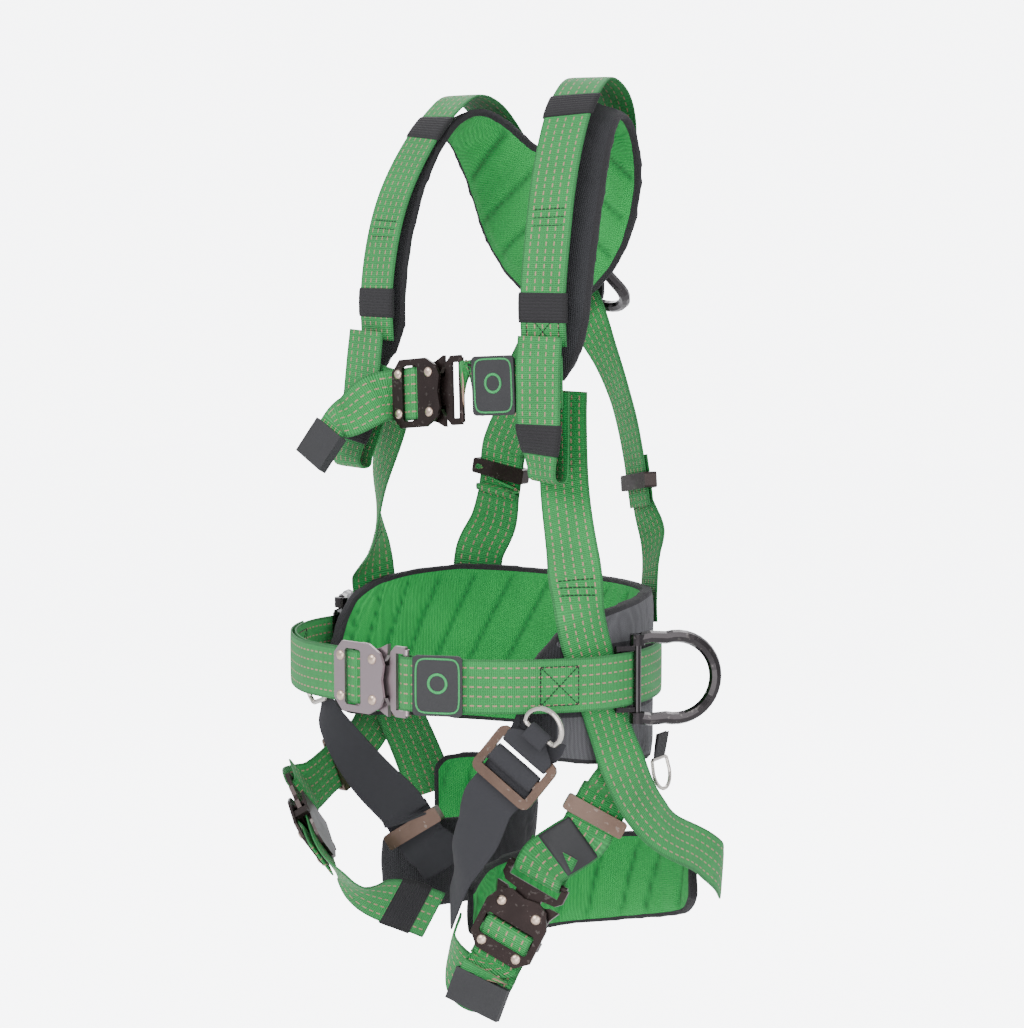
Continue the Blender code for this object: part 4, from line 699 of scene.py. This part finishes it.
@dataclass
class Straps:
    """Every strap of the harness, with its keepers, sleeves and stitching."""
    green: tuple[str, ...] = (
        "shoulder_strap_left", "shoulder_strap_right", "back_strap_left", "back_strap_right",
        "sternal_loop_left", "sternal_loop_right", "body_strap_left", "body_strap_right",
        "chest_strap_left", "chest_strap_right", "belt_strap_left", "belt_strap_right",
        "leg_strap_upper_left", "leg_strap_upper_right", "leg_strap_lower_left",
        "leg_strap_lower_right")
    black: tuple[str, ...] = ("riser_upper_left", "riser_lower_left", "riser_upper_right",
                              "riser_lower_right")
    made: dict[str, Strap] = field(default_factory=dict)

    def build(self) -> None:
        """Weave each strap."""
        for node in self.green:
            self.made[node] = Strap(node)
        for node in self.black:
            self.made[node] = Strap(node, Finish.RISER)
        self.made["gear_loop_left"] = Strap("gear_loop_left", Finish.ELASTIC)
        for node, strap in self.made.items():
            strap.weave()
            LOG.info("strap %s: %.0f mm", node, strap.route.length * 1000)
        self.keepers()
        self.sewing()

    def keepers(self) -> None:
        """The black keepers, the elastics, the sleeves and the moulded tabs."""
        elastic = Finish.ELASTIC
        for name, node, point, length, grow, wide, finish in (
                ("keeper_upper_left", "shoulder_strap_left", (0.083, 0.020, 0.474), 24, 1.3, 1.4,
                 elastic),
                ("keeper_lower_left", "shoulder_strap_left", (0.100, -0.035, 0.306), 25, 1.2, 1.4,
                 elastic),
                ("keeper_upper_right", "shoulder_strap_right", (-0.080, 0.012, 0.462), 24, 1.3, 1.4,
                 elastic),
                ("keeper_lower_right", "shoulder_strap_right", (-0.093, -0.035, 0.306), 25, 1.2, 1.4,
                 elastic),
                ("elastic_left", "sternal_loop_left", (0.102, -0.043, 0.197), 25, 1.3, 1.4,
                 elastic),
                ("elastic_right", "sternal_loop_right", (-0.103, -0.050, 0.198), 25, 1.3, 1.4,
                 elastic),
                ("leg_tab_left", "leg_strap_upper_left", (0.132, -0.036, -0.151), 32, 1.5, -1.5,
                 Finish.RUBBER),
                ("leg_sleeve_right", "leg_strap_lower_right", (-0.020, -0.075, -0.245), 30, 1.3, 1.4,
                 elastic)):
            strap = self.made[node]
            middle = strap.route.nearest(point)
            half = length * MM / 2.0
            start, end = max(middle - half, 0.0), min(middle + half, strap.route.length)
            piece = strap.sheath(name, start, end, grow * MM, finish, wide * MM, 0.55)

    def sewing(self) -> None:
        """Bar tacks, and boxes with a cross, on the outer faces."""
        for name, node, point, kind in (
                ("shoulder_tacks_left", "shoulder_strap_left", (0.097, -0.024, 0.380), "bars"),
                ("shoulder_tacks_right", "shoulder_strap_right", (-0.097, -0.024, 0.370), "bars"),
                ("shoulder_ends_left", "shoulder_strap_left", (0.100, -0.034, 0.286), "box"),
                ("body_tacks_left", "body_strap_left", (0.150, -0.045, 0.080), "bars"),
                ("body_tacks_right", "body_strap_right", (-0.150, -0.030, 0.080), "bars"),
                ("belt_box_left", "belt_strap_left", (0.149, -0.071, 0.0), "box"),
                ("belt_box_right", "belt_strap_right", (-0.149, -0.071, 0.0), "box"),
                ("chest_box_left", "chest_strap_left", (0.045, -0.046, 0.240), "box"),
                ("leg_box_left", "leg_strap_upper_left", (0.126, -0.050, -0.166), "bars"),
                ("riser_tacks_left", "riser_upper_left", (0.140, -0.088, -0.045), "bars")):
            strap = self.made[node]
            middle = float(np.clip(strap.route.nearest(point), 0.012, strap.route.length - 0.012))
            if kind == "box":
                lines = box_cross(middle - 0.016, middle + 0.016, 0.016)
            else:
                lines = bars([middle - 0.007, middle, middle + 0.007], 0.015)
            for face in (1.0, -1.0):
                label = "front" if face > 0 else "back"
                piece = strap.stitches(f"{name}_{label}", lines, face=face)


# ---------------------------------------------------------------------------------------------
# Pads
# ---------------------------------------------------------------------------------------------

class Around(Enum):
    """What a pad wraps round, which says where its outer side looks."""
    WAIST = "waist"
    SHOULDERS = "shoulders"
    LEFT_LEG = "left leg"
    RIGHT_LEG = "right leg"

    def outward(self, points: np.ndarray) -> np.ndarray:
        """The outward directions at points.

        The core is the torso's axis for the waist, a line across the shoulders for the yoke, and
        a thigh's axis for a leg pad; outward is straight away from it.

        Args:
            points: The points, in metres.

        Returns:
            One direction for each point.
        """
        away = points.copy()
        if self is Around.SHOULDERS:
            away[:, 0] = 0.0
            away[:, 1] -= 0.040
            away[:, 2] -= np.minimum(points[:, 2], 0.400)
        else:
            core = {Around.WAIST: (0.0, 0.0), Around.LEFT_LEG: (0.100, 0.015),
                    Around.RIGHT_LEG: (-0.085, 0.040)}[self]
            away[:, 0] -= core[0]
            away[:, 1] -= core[1]
            away[:, 2] = 0.0
            if self is Around.WAIST:
                away[:, 0] /= 1.5
        return unit(away)


@dataclass
class Pad:
    """A padded piece: swollen cloth, sewn channels on its inner side and a bound edge.

    The channels lie where the seam coordinate, in spacings, is a whole number; each pulls the
    cloth in by its depth times a bell curve of the way from it.
    """
    node: str
    around: Around
    spacing: float = 0.030
    lean: float = 0.55
    depth: float = 0.0026
    binding: float = 0.0062
    thin: float = 0.0030
    voxel: float = 0.0042
    fill: float = 0.55
    panels: bool = False

    def build(self) -> bpy.types.Object:
        """Make the pad in place of its CAD node.

        Returns:
            The object.
        """
        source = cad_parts[self.node]
        rim = self.rim(source.data)
        mesh = self.swollen(self.fine(source))
        mesh.name = f"{self.node}_cloth"
        points, normals = self.read(mesh)
        outward = self.around.outward(points)
        reach = np.array([rim.find_nearest(Vector(p))[3] for p in points])
        inner = (normals * outward).sum(1) < 0.0
        seam = self.seams(points) * np.clip((reach - self.binding) / 0.006, 0.0, 1.0)
        thin = self.thin * (1.0 - np.clip(reach / 0.020, 0.0, 1.0)) ** 2
        share = np.where(inner, 1.0, 0.45)
        roll = 0.0013 * np.exp(-((reach - self.binding * 0.45) / (self.binding * 0.5)) ** 2)
        points = points - normals * (self.depth * seam * share + thin - roll)[:, None]
        mesh.vertices.foreach_set("co", points.astype(np.float32).ravel())
        # The stored seam number is painted shade for the cloth's colour: strongest on the inner side, at
        # 0.6 on the outer side.
        mesh.attributes.new("seam", "FLOAT", "POINT").data.foreach_set(
            "value", (np.clip(seam ** 3, 0, 1) * np.where(inner, 1.0, 0.6)).astype(np.float32))
        self.dress(mesh, points, reach, inner)
        thing = bpy.data.objects.new(f"{self.node}_cloth", mesh)
        bpy.context.collection.objects.link(thing)
        finer = thing.modifiers.new("finer", "SUBSURF")
        finer.levels = finer.render_levels = 1
        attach(thing, ROOT)
        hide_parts(self.node)
        LOG.info("pad %s: %d points", self.node, len(points))
        return thing

    def dress(self, mesh: bpy.types.Mesh, points: np.ndarray, reach: np.ndarray,
              inner: np.ndarray) -> None:
        """Give the mesh the padding finish and the numbers that choose its cloths.

        Args:
            mesh: The pad's mesh.
            points: Its points.
            reach: How far each is from the rim.
            inner: Whether each is on the inner side.
        """
        mesh.materials.clear()
        mesh.materials.append(Finish.PAD.material())
        turn = np.degrees(np.arctan2(points[:, 0], -points[:, 1]))
        panel = (np.abs(points[:, 2]) > 0.030) & (np.abs(turn) < 125.0) & (np.abs(turn) > 66.0)
        for name, values in (("rim", reach), ("outside", ~inner), ("panel", panel & self.panels)):
            mesh.attributes.new(name, "FLOAT", "POINT").data.foreach_set(
                "value", values.astype(np.float32))
        mesh.polygons.foreach_set("use_smooth", np.full(len(mesh.polygons), True))
        mesh.update()

    def seams(self, points: np.ndarray) -> np.ndarray:
        """How near each point is to a sewn channel, from 0 to 1.

        Args:
            points: The points, in metres.

        Returns:
            One value for each point.
        """
        x, y, z = points.T
        if self.around is Around.SHOULDERS:
            along = 0.75 * z + 0.5 * y + 0.55 * np.abs(x)
        else:
            away = self.around.outward(points)
            size = 0.145 if self.around is Around.WAIST else 0.085
            along = size * np.arctan2(away[:, 0], -away[:, 1]) + self.lean * z
        whole = np.abs((along / self.spacing + 0.5) % 1.0 - 0.5) * self.spacing
        return np.exp(-(whole / 0.0030) ** 2)

    @staticmethod
    def read(mesh: bpy.types.Mesh) -> tuple[np.ndarray, np.ndarray]:
        """A mesh's points and point normals."""
        points = np.empty(len(mesh.vertices) * 3, np.float32)
        mesh.vertices.foreach_get("co", points)
        normals = np.empty(len(mesh.vertices) * 3, np.float32)
        mesh.vertex_normals.foreach_get("vector", normals)
        return points.reshape(-1, 3).astype(float), normals.reshape(-1, 3).astype(float)

    def rim(self, mesh: bpy.types.Mesh) -> BVHTree:
        """The solid's rim: its faces that look neither outward nor inward."""
        corners = [v.co.copy() for v in mesh.vertices]
        centres = np.array([p.center[:] for p in mesh.polygons])
        normals = np.array([p.normal[:] for p in mesh.polygons])
        side = np.abs((normals * self.around.outward(centres)).sum(1)) < 0.45
        faces = [tuple(face.vertices) for face, kept in zip(mesh.polygons, side) if kept]
        return BVHTree.FromPolygons(corners, faces)

    def fine(self, source: bpy.types.Object) -> bpy.types.Mesh:
        """The solid's surface as small even faces.

        Args:
            source: The CAD node.

        Returns:
            The new mesh.
        """
        work = bpy.data.objects.new("work", source.data.copy())
        bpy.context.collection.objects.link(work)
        even = work.modifiers.new("even", "REMESH")
        even.mode = "VOXEL"
        even.voxel_size = self.voxel
        soft = work.modifiers.new("soft", "SMOOTH")
        soft.factor = 0.5
        soft.iterations = 6
        bpy.context.view_layer.update()
        shown = work.evaluated_get(bpy.context.evaluated_depsgraph_get())
        mesh = bpy.data.meshes.new_from_object(shown)
        bpy.data.objects.remove(work)
        return mesh

    def swollen(self, mesh: bpy.types.Mesh) -> bpy.types.Mesh:
        """The surface blown up a little as cloth, with how far a point moves out capped.

        Args:
            mesh: The even surface.

        Returns:
            The same mesh, moved.
        """
        start, normals = self.read(mesh)
        work = bpy.data.objects.new("work", mesh)
        bpy.context.collection.objects.link(work)
        cloth = work.modifiers.new("cloth", "CLOTH")
        cloth.settings.use_pressure = True
        cloth.settings.uniform_pressure_force = 4.0
        cloth.settings.effector_weights.gravity = 0.0
        cloth.settings.quality = 4
        cloth.point_cache.frame_start = 1
        cloth.point_cache.frame_end = SIM_FRAMES
        for number in range(1, SIM_FRAMES + 1):
            bpy.context.scene.frame_set(number)
        shown = work.evaluated_get(bpy.context.evaluated_depsgraph_get())
        end = np.empty(len(mesh.vertices) * 3, np.float32)
        shown.data.vertices.foreach_get("co", end)
        rise = ((end.reshape(-1, 3) - start) * normals).sum(1)
        out = start + normals * (np.clip(rise - np.median(rise), -0.001, 0.004) * 0.5)[:, None]
        bpy.data.objects.remove(work)
        bpy.context.scene.frame_set(1)
        mesh.vertices.foreach_set("co", out.astype(np.float32).ravel())
        mesh.update()
        return mesh


@dataclass
class Pads:
    """The waist pad, the shoulder yoke and the two leg pads."""
    pads: tuple[Pad, ...] = (
        Pad("waist_pad", Around.WAIST, 0.034, 0.5, panels=True),
        Pad("shoulder_yoke", Around.SHOULDERS, 0.031),
        Pad("leg_pad_left", Around.LEFT_LEG, 0.034, 0.25),
        Pad("leg_pad_right", Around.RIGHT_LEG, 0.034, 0.25))

    def build(self) -> None:
        """Make each pad."""
        for pad in self.pads:
            pad.build()


# ---------------------------------------------------------------------------------------------
# Fittings
# ---------------------------------------------------------------------------------------------

@dataclass
class Fittings:
    """The carried-over CAD nodes and their finishes."""
    finishes: dict[str, Finish] = field(default_factory=lambda: {
        "chest_buckle_body": Finish.DARK, "chest_buckle_tongue": Finish.DARK,
        "leg_left_buckle_body": Finish.DARK, "leg_left_buckle_tongue": Finish.DARK,
        "leg_right_buckle_body": Finish.DARK, "leg_right_buckle_tongue": Finish.DARK,
        "belt_buckle_body": Finish.MAUVE, "belt_buckle_tongue": Finish.MAUVE,
        "side_ring_frame_left": Finish.RING, "side_ring_frame_right": Finish.RING,
        "side_ring_left": Finish.RING, "side_ring_right": Finish.RING,
        "dorsal_ring": Finish.RING, "dorsal_plate": Finish.RUBBER,
        "ventral_ring_left": Finish.STEEL, "ventral_ring_right": Finish.STEEL,
        "gear_ring_left": Finish.STEEL, "riser_frame_left": Finish.BRONZE,
        "riser_slider_right": Finish.BRONZE, "leg_slider_left": Finish.BRONZE,
        "leg_slider_right": Finish.BRONZE, "back_adjuster_left": Finish.DARK,
        "back_adjuster_right": Finish.DARK, "chest_patch": Finish.RUBBER,
        "belt_patch": Finish.RUBBER, "chest_strap_end": Finish.RUBBER,
        "leg_strap_end": Finish.RUBBER})
    buckles: tuple[tuple, ...] = (
        ("chest", (-0.029, -0.052, 0.231), (-0.034814, -0.996956, 0.069756), (1.0, 0.02, 0.10)),
        ("belt", (0.0, -0.1516, 0.0), (0.0, -1.0, 0.0), (1.0, 0.0, 0.0)),
        ("leg_left", (0.110, -0.086, -0.204), (0.366421, -0.906922, 0.207911), (0.22, 0.52, 0.82)),
        ("leg_right", (-0.122, -0.097, -0.156), (-0.642778, -0.5785, -0.50217), (-0.76, 0.47, 0.43)))
    patches: tuple[tuple, ...] = (
        ("belt_patch", (0.076, -0.136, 0.0), (0.876131, 0.482072, 0.0), (0.482072, -0.876131, 0.0)),
        ("chest_patch", (0.055, -0.0436, 0.2402), (0.984018, 0.168002, 0.05903),
         (0.166712, -0.985658, 0.026177)))

    def build(self) -> None:
        """Dress each node."""
        for name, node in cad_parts.items():
            finish = self.finishes.get(name)
            if finish is None and "lever" in name:
                finish = Finish.MAUVE if name.startswith("belt") else Finish.DARK
            if finish is not None:
                self.dress(node, finish)
        for name, origin, out, along in self.buckles:
            self.rivets(name, origin, out, along)
        for name, origin, along, out in self.patches:
            self.mark(name, origin, along, out)

    def rivets(self, name: str, origin: tuple[float, float, float], out: tuple[float, float, float],
               along: tuple[float, float, float]) -> None:
        """The four rivet heads of a buckle.

        A head is a spherical cap: its radius is the head's times the sine of the angle, and its
        height the dome's times the cosine.

        Args:
            name: The buckle's name.
            origin: The buckle's centre.
            out: The way it faces.
            along: The way the strap runs through it.
        """
        z = unit(np.array(out))
        x = np.array(along) - z * np.dot(np.array(along), z)
        x = unit(x)
        y = np.cross(z, x)
        turn = np.linspace(0, 2 * np.pi, 25)[:-1]
        rise = np.radians([90.0, 82.0, 66.0, 48.0, 30.0, 12.0])
        points, faces = [], []
        for u, v in ((15.0, 17.0), (15.0, -17.0), (-22.0, 17.0), (-22.0, -17.0)):
            centre = np.array(origin) + (x * u + y * v - z * 0.1) * MM
            radius = 4.4 * MM * np.sin(rise)[:, None, None]
            height = 2.45 * MM * np.cos(rise)[:, None, None]
            ring = (centre + radius * (x * np.cos(turn)[None, :, None] + y * np.sin(turn)[None, :, None])
                    + height * z)
            base = sum(len(p) for p in points)
            points.append(ring.reshape(-1, 3))
            faces.append(loft_faces(len(rise), 24) + base)
            last = base + (len(rise) - 1) * 24
            faces.append(np.array([[last + k, last + k + 1, last + 22 - k, last + 23 - k]
                                   for k in range(11)]))
        piece = make_mesh(f"{name}_rivets", np.vstack(points), np.vstack(faces), Finish.RIVET)
        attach(piece, ROOT)

    def mark(self, name: str, origin: tuple[float, float, float], along: tuple[float, float, float],
             out: tuple[float, float, float]) -> None:
        """A patch's green outline and a plain ring inside it.

        The outline is a super-ellipse of power 6 and the ring a circle, each swept by a small
        round section.

        Args:
            name: The patch's name.
            origin: Its centre.
            along: The way along it.
            out: The way it faces.
        """
        z, x = unit(np.array(out)), unit(np.array(along))
        y = np.cross(z, x)
        turn = np.linspace(0, 2 * np.pi, 97)[:-1]
        small = np.linspace(0, 2 * np.pi, 9)[:-1]
        points, faces = [], []
        for half_x, half_y, power, radius, shift in ((18.3, 22.3, 6.0, 0.75, 0.0),
                                                     (7.5, 7.5, 2.0, 1.1, 2.0)):
            size = (np.abs(np.cos(turn)) ** power + np.abs(np.sin(turn)) ** power) ** (-1.0 / power)
            flat = np.stack([half_x * size * np.cos(turn), half_y * size * np.sin(turn) + shift], -1)
            centre = np.array(origin) + (flat[:, :1] * x + flat[:, 1:] * y + 4.2 * z) * MM
            way = unit(np.roll(centre, -1, 0) - np.roll(centre, 1, 0))
            side = np.cross(way, z)
            ring = (centre[:, None] + radius * MM * (side[:, None] * np.cos(small)[None, :, None]
                                                     + 0.5 * z * np.sin(small)[None, :, None]))
            base = sum(len(p) for p in points)
            points.append(ring.reshape(-1, 3))
            quads = loft_faces(96, 8)
            close = np.array([[95 * 8 + k, 95 * 8 + (k + 1) % 8, (k + 1) % 8, k] for k in range(8)])
            faces.append(np.vstack([quads, close]) + base)
        piece = make_mesh(f"{name}_mark", np.vstack(points), np.vstack(faces), Finish.GREEN_THREAD)
        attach(piece, ROOT)

    @staticmethod
    def dress(node: bpy.types.Object, finish: Finish) -> None:
        """Put a finish in each of a node's material slots."""
        for place in node.material_slots:
            place.material = finish.material()


# ---------------------------------------------------------------------------------------------
# Stage
# ---------------------------------------------------------------------------------------------

@dataclass
class Studio:
    """The pale floor, the soft lights and the camera."""
    target: tuple[float, float, float] = (0.019, 0.017, 0.125)
    distance: float = 2.5
    azimuth: float = 42.0
    pitch: float = 5.9
    lens: float = 101.3

    def build(self) -> None:
        """Set the floor, the lights, the world and the camera."""
        self.floor()
        self.light("key", (-0.3, -1.7, 1.5), 1.3, 36.0)
        self.light("fill", (1.9, -0.7, 0.9), 1.5, 24.0)
        self.light("back", (-0.9, 1.4, 1.3), 1.4, 26.0)
        self.light("low", (0.8, -1.2, -0.15), 0.9, 9.0)
        world = bpy.data.worlds.new("pale_room")
        world.use_nodes = True
        shade = world.node_tree.nodes["Background"]
        shade.inputs["Color"].default_value = (0.96, 0.97, 1.0, 1.0)
        seen = world.node_tree.nodes.new("ShaderNodeLightPath").outputs["Is Camera Ray"]
        power = world.node_tree.nodes.new("ShaderNodeMath")
        power.operation = "MULTIPLY_ADD"
        power.inputs[1].default_value = GLOW
        power.inputs[2].default_value = 1.0
        world.node_tree.links.new(seen, power.inputs[0])
        world.node_tree.links.new(power.outputs[0], shade.inputs["Strength"])
        bpy.context.scene.world = world
        self.camera()

    def floor(self) -> None:
        """A wide pale floor under the hanging harness."""
        size = 6.0
        points = np.array([[-size, -size, 0], [size, -size, 0], [size, size, 0], [-size, size, 0]])
        points[:, 2] = FLOOR_HEIGHT
        floor = make_mesh("pale_floor", points, np.array([[0, 1, 2, 3]]), Finish.BINDING, smooth=False)
        tree = Tree("pale_floor")
        tone = tree.noise(3.0, 3.0)
        tree.set(Base_Color=tree.mix(tone, (0.88, 0.88, 0.89, 1.0), (0.93, 0.93, 0.94, 1.0)),
                 Roughness=0.7, Emission_Color=(0.96, 0.97, 1.0, 1.0))
        seen = tree.nodes.new("ShaderNodeLightPath").outputs["Is Camera Ray"]
        tree.set(Emission_Strength=tree.math("MULTIPLY", seen, GLOW))
        floor.data.materials[0] = tree.material

    def light(self, name: str, place: tuple[float, float, float], size: float, power: float) -> None:
        """A square soft light that looks at the harness.

        Args:
            name: The light's name.
            place: Where it stands.
            size: Its side, in metres.
            power: Its power, in watts.
        """
        lamp = bpy.data.lights.new(name, "AREA")
        lamp.size = size
        lamp.energy = power
        thing = bpy.data.objects.new(name, lamp)
        bpy.context.collection.objects.link(thing)
        thing.location = place
        way = Vector(self.target) - Vector(place)
        thing.rotation_euler = way.to_track_quat("-Z", "Y").to_euler()

    def camera(self) -> None:
        """The camera at its azimuth, pitch and distance from the target."""
        turn, rise = math.radians(self.azimuth), math.radians(self.pitch)
        back = Vector((math.sin(turn) * math.cos(rise), -math.cos(turn) * math.cos(rise),
                       math.sin(rise)))
        data = bpy.data.cameras.new("view")
        data.lens = self.lens
        data.sensor_width = 36.0
        data.sensor_fit = "AUTO"
        data.clip_end = 50.0
        camera = bpy.data.objects.new("view", data)
        bpy.context.collection.objects.link(camera)
        camera.location = Vector(self.target) + back * self.distance
        camera.rotation_euler = (-back).to_track_quat("-Z", "Y").to_euler()
        bpy.context.scene.camera = camera


def main() -> None:
    """Build the harness and its studio."""
    straps = Straps()
    straps.build()
    Pads().build()
    Fittings().build()
    Studio().build()


if __name__ == "__main__":
    main()
